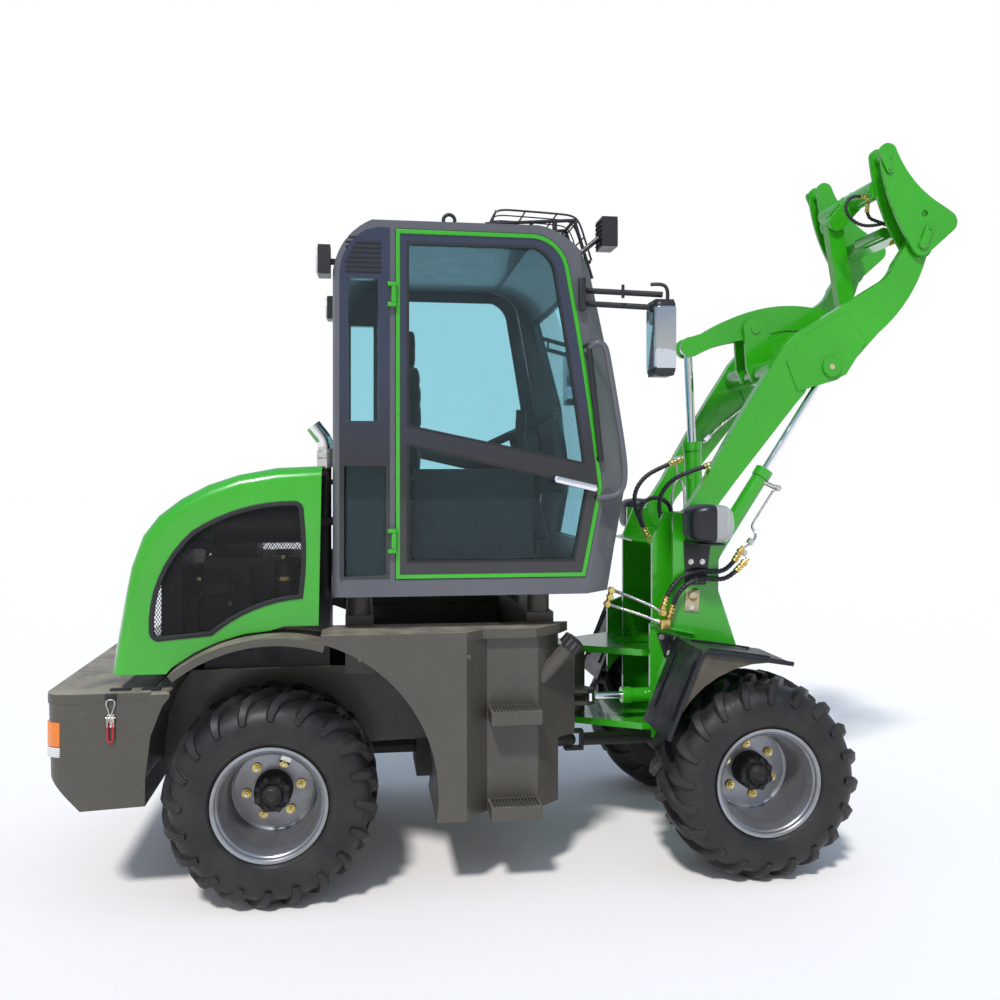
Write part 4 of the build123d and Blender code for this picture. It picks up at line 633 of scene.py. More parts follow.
for side in (-1, 1):
    pipe(form, standing(rear, hook, side * 629), 0.0026)
    for x in (-580, -558):
        block(form, rear(x - 1.5, side * lid_side, 668), rear(x + 1.5, side * 634, 708), 0.0006)
    block(form, rear(-582, side * 619, 664), rear(-556, side * 623, 712), 0.001)
    rod(form, rear(-586, side * 628, 700), rear(-552, side * 628, 700), 0.003, 12)
    spring = [rear(-569 + 4 * math.cos(k), side * (628 + 4 * math.sin(k)), 668 + k * 0.8) for k in range(40)]
    pipe(form, spring, 0.0012, 6)
    pipe(red, standing(rear, loop, side * 630), 0.0034)
    for target, low, high in ((amber, 598, 686), (clear, 560, 596)):
        prism(target, [rear(x, side * y, low) for x, y in corner], (0, 0, (high - low) / 1000), 0.004)
piece("lid_latches", "rear_frame", bright_zinc, form)
piece("latch_sleeves", "rear_frame", red_sleeve, red)
piece("tail_lenses_amber", "rear_frame", amber_lens, amber)
piece("tail_lenses_clear", "rear_frame", clear_lens, clear)


# ------------------------------------------------------------------ side tanks and steps
# Folded steel boxes welded shut, with two plate steps hung on them. The steps' edges are cut into
# teeth for grip, and the filler neck ends in a ribbed black cap.


def cone_tooth(width):
    """A four-sided tooth one millimetre high for each unit of span."""
    sizes = {"Vertices": 4, "Radius Top": width * 0.25, "Radius Bottom": width, "Depth": 0.001}
    return width.node("GeometryNodeMeshCone", {}, sizes)


teeth = repeater("grip_teeth", ["Width"], cone_tooth)
step_tops, rows, tooth_pitch, tooth_height = (335, 692), (600, 632, 664, 694), 12.6, 9.0
places = []
for side in (-1, 1):
    for top in step_tops:
        for y in rows:
            for k in range(15):
                places.append((rear(816 + tooth_pitch * k, side * y, top - 1), (0, 0, 1), tooth_height))
repeated("step_teeth", "rear_frame", warm_grey, teeth, {"Width": 0.0065}, places)
black_plastic, plastic_shader, place = new_finish("black_plastic", specular_ior_level=0.5)
settled = facing_up(place) * place.noise(7.0, 6.0).smooth(0.3, 0.75, 0.0, 0.35)
feed(
    plastic_shader,
    base_color=settled.blend((0.0105, 0.0115, 0.0155), (0.13, 0.12, 0.10)),
    roughness=place.patches(20.0, 0.30, 0.46),
    normal=bump(place.noise(700.0, 2.0), 0.12, 0.0003, 0.003),
)
form = bmesh.new()
neck, way = rear(1020, -545, 780), Vector((130, -30, 150)).normalized()
end = neck + way * 0.200
side = way.orthogonal().normalized()
across = way.cross(side)
ring = []
for k in range(48):
    a, grip_radius = 2 * math.pi * k / 48, 0.0455 if k % 4 < 2 else 0.0425
    ring.append(end - way * 0.034 + (side * math.cos(a) + across * math.sin(a)) * grip_radius)
prism(form, ring, way * 0.040)
lathe(form, [(0, 0.012), (0.030, 0.011), (0.037, 0.006), (0.038, 0)], end, way, 32)
piece("filler_cap", "rear_frame", black_plastic, form)
form = bmesh.new()
for side in (-1, 1):
    for x in (792, 1004):
        block(form, rear(x - 1.5, side * 586, 300), rear(x + 1.5, side * 592, 950), 0.001)
    for x in (722, 322):
        rod(form, rear(x, side * 699, 900), rear(x, side * 704, 900), 0.009, 12, 0.001)
piece("tank_seams", "rear_frame", warm_grey, form)


# ------------------------------------------------------------------ engine
# A black-painted engine with its radiator, fan shroud, belt-driven alternator, two spin-on filters
# and rubber pipes, seen through the screens of the hood.

engine_black = enamel("engine_black", (0.020, 0.020, 0.021), 0.42, 0.0, dust=0.25)
dress(engine_black, "engine", "engine_fittings")
form = bmesh.new()
fan_z, blades, filter_y = 1030, 7, -268
shroud = [(0.150, 0), (0.172, 0), (0.172, 0.030), (0.160, 0.036), (0.150, 0.030)]
lathe(form, shroud, rear(-366, 0, fan_z), (1, 0, 0), 48, looped=True)
for k in range(blades):
    a = 2 * math.pi * k / blades
    out, turn = Vector((0, math.cos(a), math.sin(a))), Vector((0, -math.sin(a), math.cos(a)))
    blade = ((0.035, -0.012, 0), (0.140, -0.024, 0), (0.140, 0.024, 0.016), (0.035, 0.012, 0.012))
    hub = rear(-345, 0, fan_z)
    corners = [hub + out * away + turn * wide + Vector((ahead, 0, 0)) for away, wide, ahead in blade]
    prism(form, corners, (0.0025, 0, 0))
rod(form, rear(-350, 0, fan_z), rear(-300, 0, fan_z), 0.036, 24, 0.004)
for x, low, high, r in ((20, 1080, 1230, 0.038), (-60, 905, 1040, 0.044)):
    foot, top, tall = rear(x, filter_y, low), rear(x, filter_y, high), (high - low) / 1000
    canister = [(0, 0), (r - 0.006, 0), (r, 0.008), (r, tall - 0.006), (r - 0.006, tall), (0, tall)]
    lathe(form, canister, foot, top - foot, 28)
    rod(form, top, top + Vector((0, 0, 0.030)), 0.016, 16)
    block(form, rear(x - 35, -270, high + 24), rear(x + 35, -225, high + 44), 0.003)
alternator = [(0, -0.060), (0.040, -0.060), (0.052, -0.050), (0.052, 0.030)]
alternator += [(0.044, 0.040), (0.030, 0.042), (0.030, 0.060), (0, 0.060)]
lathe(form, alternator, rear(-230, -282, 1130), (1, 0, 0), 28)
piece("engine_auxiliaries", "rear_frame", engine_black, form)
form = bmesh.new()
routes = (
    (((-400, -180, 1262), (-360, -190, 1300), (-300, -200, 1300), (-240, -200, 1262), (-200, -190, 1200)), 0.024),
    (((-395, -240, 850), (-340, -270, 840), (-250, -285, 870), (-180, -270, 950), (-160, -235, 1020)), 0.022),
    (((120, -200, 1330), (150, -230, 1290), (130, -250, 1220), (60, -262, 1180)), 0.014),
    (((-120, -240, 1200), (-100, -290, 1150), (-110, -300, 1040), (-60, -290, 960)), 0.009),
    (((-330, -270, 1180), (-280, -300, 1100), (-300, -310, 980), (-220, -300, 900), (-100, -300, 880)), 0.007),
)
for points, radius in routes:
    pipe(form, [rear(*point) for point in points], radius)
piece("engine_hoses", "rear_frame", seal_black, form)
form = bmesh.new()
for x, z, r in ((20, 1160, 0.0388), (-60, 975, 0.0448)):
    lathe(form, [(r, -0.008), (r, 0.008)], rear(x, filter_y, z), (0, 0, 1), 28)
for x, y, z in ((-318, -262, 1160), (10, -268, 1246), (-200, -250, 1060)):
    rod(form, rear(x, y, z), rear(x + 6, y - 22, z), 0.010, 6, 0.001)
piece("filter_bands", "rear_frame", yellow_zinc, form)


# ------------------------------------------------------------------ hood
# One moulded hood, sprayed bright green, hinged behind the cab. A black rubber lip runs round each
# side opening, and black expanded metal is clipped behind it.

green = enamel("green_enamel", (0.028, 0.375, 0.006), 0.22, 0.75, dust=0.06, edge=0.004)


def smoothed(name, body, finish, crease):
    """A CAD solid's own form with its corners merged, shaded as the even curve that it is."""
    form = bmesh.new()
    form.from_mesh(nodes[name].data)
    bmesh.ops.remove_doubles(form, verts=form.verts, dist=2e-5)
    mesh = bpy.data.meshes.new(name)
    form.to_mesh(mesh)
    form.free()
    if "custom_normal" in mesh.attributes:
        mesh.attributes.remove(mesh.attributes["custom_normal"])
    mesh.polygons.foreach_set("use_smooth", [True] * len(mesh.polygons))
    mesh.set_sharp_from_angle(angle=math.radians(crease))
    holder = bpy.data.objects.new(name + "_copy", mesh)
    scene.collection.objects.link(holder)
    weighted = holder.modifiers.new("even", "WEIGHTED_NORMAL")
    weighted.keep_sharp = True
    evened = bpy.data.meshes.new_from_object(holder.evaluated_get(bpy.context.evaluated_depsgraph_get()))
    bpy.data.objects.remove(holder)
    evened.materials.clear()
    evened.materials.append(finish)
    # placed would mark the sharp edges once more and lose the evened normals, so it isn't used here
    made = bpy.data.objects.new("smooth_" + name, evened)
    scene.collection.objects.link(made)
    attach(made, body)
    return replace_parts(made, name)


smoothed("hood", "hood", green, 42)


def outline(*marks):
    """A flat outline from corners and arcs; an arc is a pair of its middle and its end."""
    points = []
    for mark in marks:
        if isinstance(mark[0], tuple):
            bend(points, points[-1], mark[0], mark[1])
        else:
            points.append(mark)
    if math.dist(points[0], points[-1]) < 0.5:
        points.pop()
    return points


window = outline(
    (-436, 996),
    ((-396, 1214), (-288, 1362)),
    ((-110, 1445), (76, 1470)),
    ((98, 1460), (103, 1438)),
    ((112, 1290), (101, 1122)),
    ((-80, 1079), (-225, 990)),
    (-400, 975),
    ((-426, 979), (-436, 996)),
)


def inset(points, distance):
    """The same closed outline moved inwards, or outwards below zero."""
    area = sum(a[0] * b[1] - b[0] * a[1] for a, b in zip(points, points[1:] + points[:1]))
    turn = 1 if area > 0 else -1
    moved = []
    for a, b, c in zip(points[-1:] + points[:-1], points, points[1:] + points[:1]):
        first, second = (Vector(b) - Vector(a)).normalized(), (Vector(c) - Vector(b)).normalized()
        normal = Vector((-first.y - second.y, first.x + second.x)).normalized() * turn
        lean = max(0.35, normal.dot(Vector((-first.y, first.x)) * turn))
        moved.append((b[0] + normal.x * distance / lean, b[1] + normal.y * distance / lean))
    return moved


def plate(form, outlines, point, near_y, far_y, edge=0.0):
    """A sheet cut to an outline with holes, standing lengthwise between two distances from the middle."""
    curve = bpy.data.curves.new("cut", "CURVE")
    curve.dimensions = "2D"
    curve.fill_mode = "BOTH"
    curve.extrude = abs(far_y - near_y) / 2000 - edge
    curve.bevel_depth = edge
    curve.bevel_resolution = 1
    for marks in outlines:
        spline = curve.splines.new("POLY")
        spline.points.add(len(marks) - 1)
        for target, (x, z) in zip(spline.points, marks):
            spot = point(x, 0, z)
            target.co = (spot.x, spot.z, 0, 1)
        spline.use_cyclic_u = True
    holder = bpy.data.objects.new("cut", curve)
    scene.collection.objects.link(holder)
    mesh = bpy.data.meshes.new_from_object(holder.evaluated_get(bpy.context.evaluated_depsgraph_get()))
    bpy.data.objects.remove(holder)
    level = Matrix.Translation((0, (near_y + far_y) / 2000, 0))
    mesh.transform(level @ Matrix.Rotation(math.radians(90), 4, "X"))
    form.from_mesh(mesh)
    bmesh.ops.remove_doubles(form, verts=form.verts, dist=1e-6)


form = bmesh.new()
for side in (-1, 1):
    plate(form, [inset(window, -7), inset(window, 6)], rear, side * 571, side * 585, 0.0025)
piece("hood_lips", "hood", seal_black, form)


def wire(width, thickness):
    """A flat wire one metre long for each unit of span."""
    size = width.node("ShaderNodeCombineXYZ", {}, {0: width, 1: thickness, 2: 1.0})
    return width.node("GeometryNodeMeshCube", {}, {"Size": size})


def crossings(ring, spot, way):
    """Where a flat line crosses a closed outline, in order along it."""
    found = []
    for (ax, ay), (bx, by) in zip(ring, ring[1:] + ring[:1]):
        ex, ey = bx - ax, by - ay
        down = way[0] * ey - way[1] * ex
        if abs(down) > 1e-9:
            t = ((ax - spot[0]) * ey - (ay - spot[1]) * ex) / down
            u = ((ax - spot[0]) * way[1] - (ay - spot[1]) * way[0]) / down
            if 0 <= u < 1:
                found.append(t)
    return sorted(found)


wires = repeater("metal_wires", ["Width", "Thickness"], wire)
screen_black, screen_shader, place = new_finish("screen_black", specular_ior_level=0.4)
shade = place.noise(40.0).blend((0.008, 0.008, 0.009), (0.028, 0.026, 0.026))
feed(screen_shader, base_color=shade, roughness=place.patches(25.0, 0.40, 0.6))
strand_lean, strand_pitch, screen_y, strand = 32, 9.0, 569, 0.0021
middle_x, middle_z = -166, 1222
places = []
for lean in (-strand_lean, strand_lean):
    way = (math.cos(math.radians(90 + lean)), math.sin(math.radians(90 + lean)))
    cross = (-way[1], way[0])
    for k in range(-75, 76):
        spot = (middle_x + cross[0] * k * strand_pitch, middle_z + cross[1] * k * strand_pitch)
        cuts = crossings(inset(window, 1), spot, way)
        for low, high in zip(cuts[::2], cuts[1::2]):
            mid = (low + high) / 2
            for side in (-1, 1):
                at = rear(spot[0] + way[0] * mid, side * screen_y, spot[1] + way[1] * mid)
                places.append((at, (way[0], 0, way[1]), (high - low) / 1000))
sizes = {"Width": strand, "Thickness": strand}
mesh_screen = repeated("hood_expanded_metal", "hood", screen_black, wires, sizes, places)
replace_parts(mesh_screen, "hood_screens")


# ------------------------------------------------------------------ cab
# A rolled steel frame sprayed slate grey. Dark-edged glass is bonded to it, and a black guard,
# lamps and mirrors are bolted on.


def outer_face(name, x, z, side):
    """How far out a CAD solid's side is at a place, in millimetres."""
    hit, spot, normal, face = nodes[name].ray_cast(Vector((x, side * 2.0, z)), Vector((0, -side, 0)))
    return spot.y * 1000 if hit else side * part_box(name)[1][1] * 1000


slate = enamel("slate_enamel", (0.098, 0.100, 0.116), 0.34, 0.25, dust=0.22)
dress(slate, "cab_frame", "cab_roof")
fitting_black = enamel("fitting_black", (0.014, 0.014, 0.016), 0.36, 0.1)
dress(fitting_black, "cab_fittings", "work_lights")
tail_pipe, tail_shader, place = new_finish("polished_tail_pipe")
polished = place.part(2).smooth(1.600, 1.606)
feed(
    tail_shader,
    base_color=polished.blend((0.016, 0.015, 0.015), (0.82, 0.81, 0.80)),
    metallic=polished,
    roughness=polished.smooth(0.0, 1.0, 0.55, 0.10),
    normal=bump(place.noise(70.0, 3.0), 0.06, 0.0006, 0.001),
)
dress(tail_pipe, "exhaust")
inside, inside_shader, place = new_finish("cabin_plastic", specular_ior_level=0.3)
drift = place.noise(3.0).smooth(0.35, 0.7)
feed(
    inside_shader,
    base_color=drift.blend((0.020, 0.021, 0.024), (0.034, 0.034, 0.036)),
    roughness=drift.smooth(0.0, 1.0, 0.5, 0.7),
    normal=bump(place.noise(25.0, 4.0), 0.08, 0.0006, 0.004),
)
dress(inside, "cab_interior")
cyan = (0.53, 0.79, 0.85)
glass, glass_shader, place = new_finish("cyan_glass", base_color=cyan, transmission_weight=1.0, ior=1.33)
feed(glass_shader, roughness=place.noise(3.0, 6.0).smooth(0.62, 0.85, 0.0, 0.05))
dress(glass, "cab_glass", "door_right_glass", "door_left_glass")
frit_with_painted_sky, edge_shader, place = new_finish("glass_frit_painted_sky", coat_weight=0.7, coat_roughness=0.03)
# painted reflection: the near-black edge turns slate blue higher up, standing in for the sky it reflects, with
# uneven patches from the noise
drift = place.part(2) + place.noise(1.6, 3.0) * 0.25
shade = drift.smooth(1.62, 2.15).blend((0.012, 0.0115, 0.012), (0.020, 0.028, 0.062))
feed(edge_shader, base_color=shade, roughness=place.patches(6.0, 0.10, 0.2))

panel = outline((246, 1188), (246, 2322), ((272, 2420), (345, 2492)), (390, 2502), (432, 2502), (432, 1188))
upper_hole = [(278, 1778), (389, 1778), (389, 2309), (278, 2309)]
lower_hole = [(263, 1197), (418, 1197), (418, 1610), (263, 1610)]
panels, shade_sheets, places = bmesh.new(), bmesh.new(), []
for side in (-1, 1):
    face = outer_face("cab_frame", rear(438, 0, 0).x, 1.70, side)
    plate(panels, [panel, upper_hole, lower_hole], rear, face, face + side * 2.5)
    # painted shade: a dark sheet just inside each lower quarter pane stands in for the shaded inside of the cab
    # seen through it
    near_y, far_y = sorted((face - side * 48, face - side * 44))
    block(shade_sheets, rear(256, near_y, 1192), rear(428, far_y, 1616))
    for k in range(7):
        left, right = 268 + max(0, k - 2) * 9, 400
        places.append((rear((left + right) / 2, face + side * 5, 2336 + 18 * k), (1, 0, 0), (right - left) / 1000))
piece("quarter_panels", "rear_frame", frit_with_painted_sky, panels)
piece("painted_cab_shade", "rear_frame", inside, shade_sheets)
sizes = {"Width": 0.008, "Thickness": 0.006}
repeated("cab_louvres", "rear_frame", fitting_black, wires, sizes, places)

front_lamp_y, back_lamp_y = 600, 550
form = bmesh.new()
for side in (-1, 1):
    near_y, far_y = side * front_lamp_y - 48, side * front_lamp_y + 48
    block(form, rear(1300, near_y, 2462), rear(1306, far_y, 2561), 0.002)
    near_y, far_y = side * back_lamp_y - 42, side * back_lamp_y + 42
    block(form, rear(158, near_y, 2338), rear(166, far_y, 2432), 0.002)
piece("work_lenses", "rear_frame", clear_lens, form)
places = []
for side in (-1, 1):
    for k in range(6):
        places.append((rear(1244, side * front_lamp_y, 2470 + 17 * k), (0, 1, 0), 0.096))
sizes = {"Width": 0.014, "Thickness": 0.004}
repeated("lamp_cooling_fins", "rear_frame", fitting_black, wires, sizes, places)

mirror_glass = metal("mirror_silver", (0.62, 0.65, 0.68), 0.02, 40.0, (0.92, 0.92, 0.92))
form, back = bmesh.new(), bmesh.new()
plan = [(1396, 730), (1396, 812)]
bend(plan, (1396, 812), (1403, 828), (1420, 835), 6)
plan += [(1474, 835), (1474, 800), (1440, 726)]
middle = Vector((1436, 783))
for side in (-1, 1):
    for target, low, high, grow in ((back, 1944, 2226, 0), (form, 1958, 2212, -3)):
        rings = []
        for z, pull in ((low, 16), (low + 8, 5), (low + 20, 0), (high - 20, 0), (high - 8, 5), (high, 16)):
            ring = []
            for x, y in plan:
                inwards = (Vector((x, y)) - middle).normalized() * (pull + grow)
                ring.append(target.verts.new(rear(x - inwards.x, side * (y - inwards.y), z)))
            rings.append(ring)
        skin(target, rings)
piece("mirror_shells", "rear_frame", fitting_black, back, 50)
piece("mirror_faces", "rear_frame", mirror_glass, form, 50)

form = bmesh.new()
rail = [(1180, 640, 2050), (1204, 672, 2082), (1248, 672, 2078), (1262, 672, 2010), (1290, 672, 1850)]
rail += [(1318, 672, 1680), (1328, 672, 1580), (1318, 672, 1520), (1280, 672, 1490), (1226, 640, 1488)]
for side in (-1, 1):
    pipe(form, [rear(x, side * y, z) for x, y, z in rail], 0.0115, 14)
piece("grab_rails", "rear_frame", slate, form)
form = bmesh.new()
hanger = ((1400, 762, 2290), (1432, 772, 2292), (1456, 780, 2282), (1462, 783, 2250), (1458, 783, 2218))
for side in (-1, 1):
    pipe(form, [rear(x, side * y, z) for x, y, z in hanger], 0.007)
    rod(form, rear(1299, side * 744, 2240), rear(1299, side * 744, 2290), 0.006, 12)
    block(form, rear(1150, side * 640, 2206), rear(1176, side * 668, 2330), 0.004)
cage = [(842, 2566), (850, 2612), (868, 2640), (980, 2636), (1120, 2630)]
cage += [(1178, 2624), (1204, 2596), (1228, 2520), (1252, 2446)]
guard_wires, wire_gap = 11, 86
for k in range(guard_wires):
    pipe(form, standing(rear, cage, -430 + wire_gap * k), 0.0042 if k in (0, guard_wires - 1) else 0.0028, 8)
for x, z in ((860, 2633), (980, 2635), (1110, 2630), (1196, 2604), (1222, 2540), (1250, 2450)):
    rod(form, rear(x, -432, z), rear(x, 432, z), 0.0034, 10)
piece("guard_wires", "rear_frame", fitting_black, form)

form = bmesh.new()
band = [(0.033, 0), (0.036, 0.004), (0.036, 0.028), (0.033, 0.032)]
lathe(form, band, rear(190, -400, 1640), (0, 0, 1), 28, looped=True)
rod(form, rear(190, -440, 1655), rear(190, -360, 1655), 0.006, 12, 0.001)
piece("exhaust_clamp", "rear_frame", bright_zinc, form)


# ------------------------------------------------------------------ doors
# Each door is one dark-edged sheet of glass over a thin steel leaf, with a slanted bar between its two
# panes. A green rubber strip is pushed on round it, and it has green hinges and a chrome pull handle.

opening = outline(
    (452, 1184), (452, 2500), (960, 2498),
    ((1070, 2458), (1116, 2380)),
    ((1164, 2120), (1250, 1530)),
    (1182, 1184),
)
upper = outline((500, 1760), (500, 2447), (985, 2446), ((1040, 2405), (1066, 2330)), ((1112, 2060), (1178, 1620)))
lower = [(500, 1250), (500, 1690), (1188, 1534), (1136, 1250)]
for name, side in (("door_right", -1), ("door_left", 1)):
    form = bmesh.new()
    plate(form, [inset(opening, 7), upper, lower], rear, side * 596, side * 631)
    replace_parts(piece("leaf_" + name, name, frit_with_painted_sky, form), name)
    form = bmesh.new()
    plate(form, [inset(opening, 4), inset(opening, 17)], rear, side * 622, side * 637, 0.0015)
    for z in (1330, 2250):
        for low in (z - 46, z + 30):
            block(form, rear(424, side * 630, low), rear(458, side * 657, low + 16), 0.003)
        rod(form, rear(448, side * 645, z - 30), rear(448, side * 645, z + 30), 0.011, 18, 0.002)
    piece("edging_" + name, name, green, form)
    form = bmesh.new()
    for marks in (upper, lower):
        plate(form, [inset(marks, -5), inset(marks, 5)], rear, side * 608, side * 632.5)
    piece("pane_seals_" + name, name, seal_black, form)
    form = bmesh.new()
    grip = [(1052, 1566), (1058, 1548), (1214, 1512), (1222, 1522), (1218, 1538), (1062, 1574)]
    prism(form, standing(rear, grip, side * 652), (0, side * 0.014, 0), 0.004)
    for x, z in ((1078, 1560), (1196, 1532)):
        rod(form, rear(x, side * 628, z), rear(x, side * 655, z), 0.009, 16)
    piece("pull_" + name, name, chrome, form)


# ------------------------------------------------------------------ seat
# Moulded foam in black woven cloth: a crowned seat, a tall back with sewn channels and a head rest.
# The foam swells between its seams, and the sides pull in between the corners.

cloth, cloth_shader, place = new_finish("black_weave", roughness=0.9, sheen_weight=0.3)
warp, weft = (
    place.node("ShaderNodeTexWave", {"bands_direction": way}, {"Vector": place, "Scale": 210.0}, output=1)
    for way in ("X", "Z")
)
threads = warp * weft
shade = (threads * place.noise(8.0)).blend((0.012, 0.012, 0.014), (0.034, 0.034, 0.037))
feed(cloth_shader, base_color=shade, normal=bump(threads, 0.2, 0.0005))


def cushion(name, low, high, crown_axis, channels):
    """A crowned pad between two corners, with sewn channels across its face."""
    form = bmesh.new()
    bmesh.ops.create_cube(form, size=2.0)
    bmesh.ops.subdivide_edges(form, edges=form.edges[:], cuts=23, use_grid_fill=True)
    half = (Vector(high) - Vector(low)) / 2
    middle = (Vector(high) + Vector(low)) / 2
    flat = [axis for axis in range(3) if axis != crown_axis]
    for vertex in form.verts:
        u = vertex.co.copy()
        round_by = (sum(abs(c) ** 6 for c in u)) ** (1 / 6)
        v = u / max(round_by, 1e-6) * max(abs(c) for c in u)
        fall = (1 - v[flat[0]] ** 2) * (1 - v[flat[1]] ** 2)
        thick = 0.84 + 0.16 * max(0.0, fall) ** 0.5
        pull = 1 - 0.05 * (1 - v[crown_axis] ** 2)
        for seam in channels:
            away = abs(v[2 if crown_axis != 2 else 0] - seam)
            if v[crown_axis] > 0.3:
                thick -= 0.10 * math.exp(-((away / 0.045) ** 2))
        spot = Vector((v.x * pull, v.y * pull, v.z * pull))
        spot[crown_axis] = v[crown_axis] * thick
        vertex.co = middle + Vector((spot.x * half.x, spot.y * half.y, spot.z * half.z))
    made = piece(name, "rear_frame", cloth, form, 60)
    return made


seat = cushion("seat_base", rear(460, -233, 1452), rear(928, 233, 1572), 2, (-0.35, 0.35))
cushion("seat_back", rear(462, -225, 1545), rear(582, 225, 2045), 0, (-0.5, -0.1, 0.3, 0.65))
cushion("head_rest", rear(471, -128, 2030), rear(560, 128, 2198), 0, (0.0,))
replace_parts(seat, "seat_cushions")
form = bmesh.new()
for y in (-60, 60):
    rod(form, rear(512, y, 1990), rear(512, y, 2060), 0.006, 14)
piece("head_rest_posts", "rear_frame", chrome, form)


# ------------------------------------------------------------------ front frame
# A tower of thick welded plates on the front axle, sprayed green. Small plates keep its pins, and a
# black bracket with three bolts holds each mudguard.


def front(x, y, z):
    """A point given in millimetres from the front axle, the middle line and the floor."""
    return Vector((front_axle_x + x / 1000, y / 1000, z / 1000))


front_axle_x = middle_of("tyre_front_right", 0)
dress(green, "front_frame", "boom", "rocker", "link", "coupler", "lift_barrels", "tilt_barrel", "steer_barrel")
dress(chrome, "lift_rods", "tilt_rod")
plated, plated_shader, place = new_finish("sand_plating", metallic=0.35)
shade = place.noise(35.0, 5.0).blend((0.46, 0.36, 0.20), (0.66, 0.56, 0.38))
feed(plated_shader, base_color=shade, roughness=place.patches(50.0, 0.32, 0.5))
tower_face, keeper_sheet, bracket_sheet = 370, 6, 8
keeper = [(-212, 1100), (-152, 1094), (-158, 1004), (-218, 1010)]
bracket = [(-338, 921), (-236, 905), (-262, 820), (-304, 816)]
bracket_bolts = ((-318, 903), (-256, 893), (-286, 836))
holder = [(-222, 1302), (-104, 1302), (-126, 1118), (-214, 1118)]
holder_bolts = ((-192, 1214), (-142, 1214), (-170, 1140))
lip_strip = [(-371, 962), (-176, 918), (-176, 909), (-371, 953)]
pin_dome = [(0, 0.012), (0.011, 0.012), (0.016, 0.010), (0.020, 0.004), (0.022, 0)]
form, black, lip = (bmesh.new() for _ in range(3))
places = []
for side in (-1, 1):
    away = Vector((0, side, 0))
    face = side * tower_face
    prism(form, standing(front, keeper, face), away * (keeper_sheet / 1000), 0.0015)
    lathe(form, pin_dome, front(-183, face + side * keeper_sheet, 1074), away, 28)
    places.append((front(-189, face + side * (keeper_sheet + 0.5), 1024), away, 1.0))
    for sheet, bolt_spots in ((bracket, bracket_bolts), (holder, holder_bolts)):
        prism(black, standing(front, sheet, face), away * (bracket_sheet / 1000), 0.0025)
        for x, z in bolt_spots:
            places.append((front(x, face + side * (bracket_sheet + 0.5), z), away, 1.0))
    block(black, front(-215, face, 1294), front(-110, side * 560, 1302), 0.002)
    prism(lip, standing(front, lip_strip, face - side), away * 0.015, 0.0015)
piece("pin_keepers", "front_frame", plated, form)
piece("tower_brackets", "front_frame", fitting_black, black)
piece("tower_lips", "front_frame", green, lip)
sizes = {"Head radius": 0.0085, "Head height": 0.007}
repeated("tower_bolts", "front_frame", bright_zinc, bolts, sizes, places)


# ------------------------------------------------------------------ hydraulic hoses and pipes
# Black rubber hoses wrapped in a spiral guard, pressed into plated ferrules, carry oil from the tower
# to the cylinders. Rigid steel pipes make the last stretch along each cylinder.

hose_rubber, hose_shader, place = new_finish("hose_rubber", specular_ior_level=0.5)
shade = place.noise(50.0, 4.0).smooth(0.45, 0.8).blend((0.010, 0.010, 0.012), (0.040, 0.037, 0.035))
feed(hose_shader, base_color=shade, roughness=place.patches(30.0, 0.34, 0.55))
guard_pitch, guard_height, hose_step = 0.017, 0.0014, 0.0026


def ferrule(form, end, inner, scale, length):
    """A crimped ferrule over a hose's end, pointing away from the hose."""
    way = (Vector(end) - Vector(inner)).normalized()
    profile = [(0, -0.030), (0.009, -0.030), (0.0125, -0.028), (0.0125, -0.018), (0.0112, -0.016)]
    profile += [(0.0125, -0.014), (0.0125, -0.004), (0.0112, -0.002), (0.0125, 0), (0.0125, 0.008)]
    profile += [(0.0085, 0.010), (0.0085, 0.014), (0.0145, 0.015), (0.0145, length - 0.018)]
    profile += [(0.0085, length - 0.016), (0.0085, length), (0, length)]
    lathe(form, [(r * scale, along) for r, along in profile], end, way, 18)


def hose(name, points, body, far_body, hose_radius=0.0092, length_of_ferrule=0.046):
    """A wrapped hose along a smooth line, with a ferrule held by the body at each end; a hose between two bodies
    rides on neither.
    """
    line = line_through(points, 24)
    even, left = [line[0]], 0.0
    for near, far in zip(line, line[1:]):
        span = (far - near).length
        while left + hose_step <= span:
            left += hose_step
            even.append(near.lerp(far, left / span))
        left -= span

    def wrapped(along, around):
        ridge = max(0.0, math.cos(along * 2 * math.pi / guard_pitch - around))
        return hose_radius + guard_height * ridge**0.6

    form = bmesh.new()
    sweep(form, even, wrapped, 14)
    made = piece(name, body if body == far_body else None, hose_rubber, form, 75)
    if body != far_body:
        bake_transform(made)
    near_end, far_end = ("near", points[0], points[1], body), ("far", points[-1], points[-2], far_body)
    for word, end, inner, holder in (near_end, far_end):
        form = bmesh.new()
        ferrule(form, end, inner, hose_radius / 0.0085, length_of_ferrule)
        piece(name + "_ferrule_" + word, holder, yellow_zinc, form)
    length = sum((b - a).length for a, b in zip(even, even[1:]))


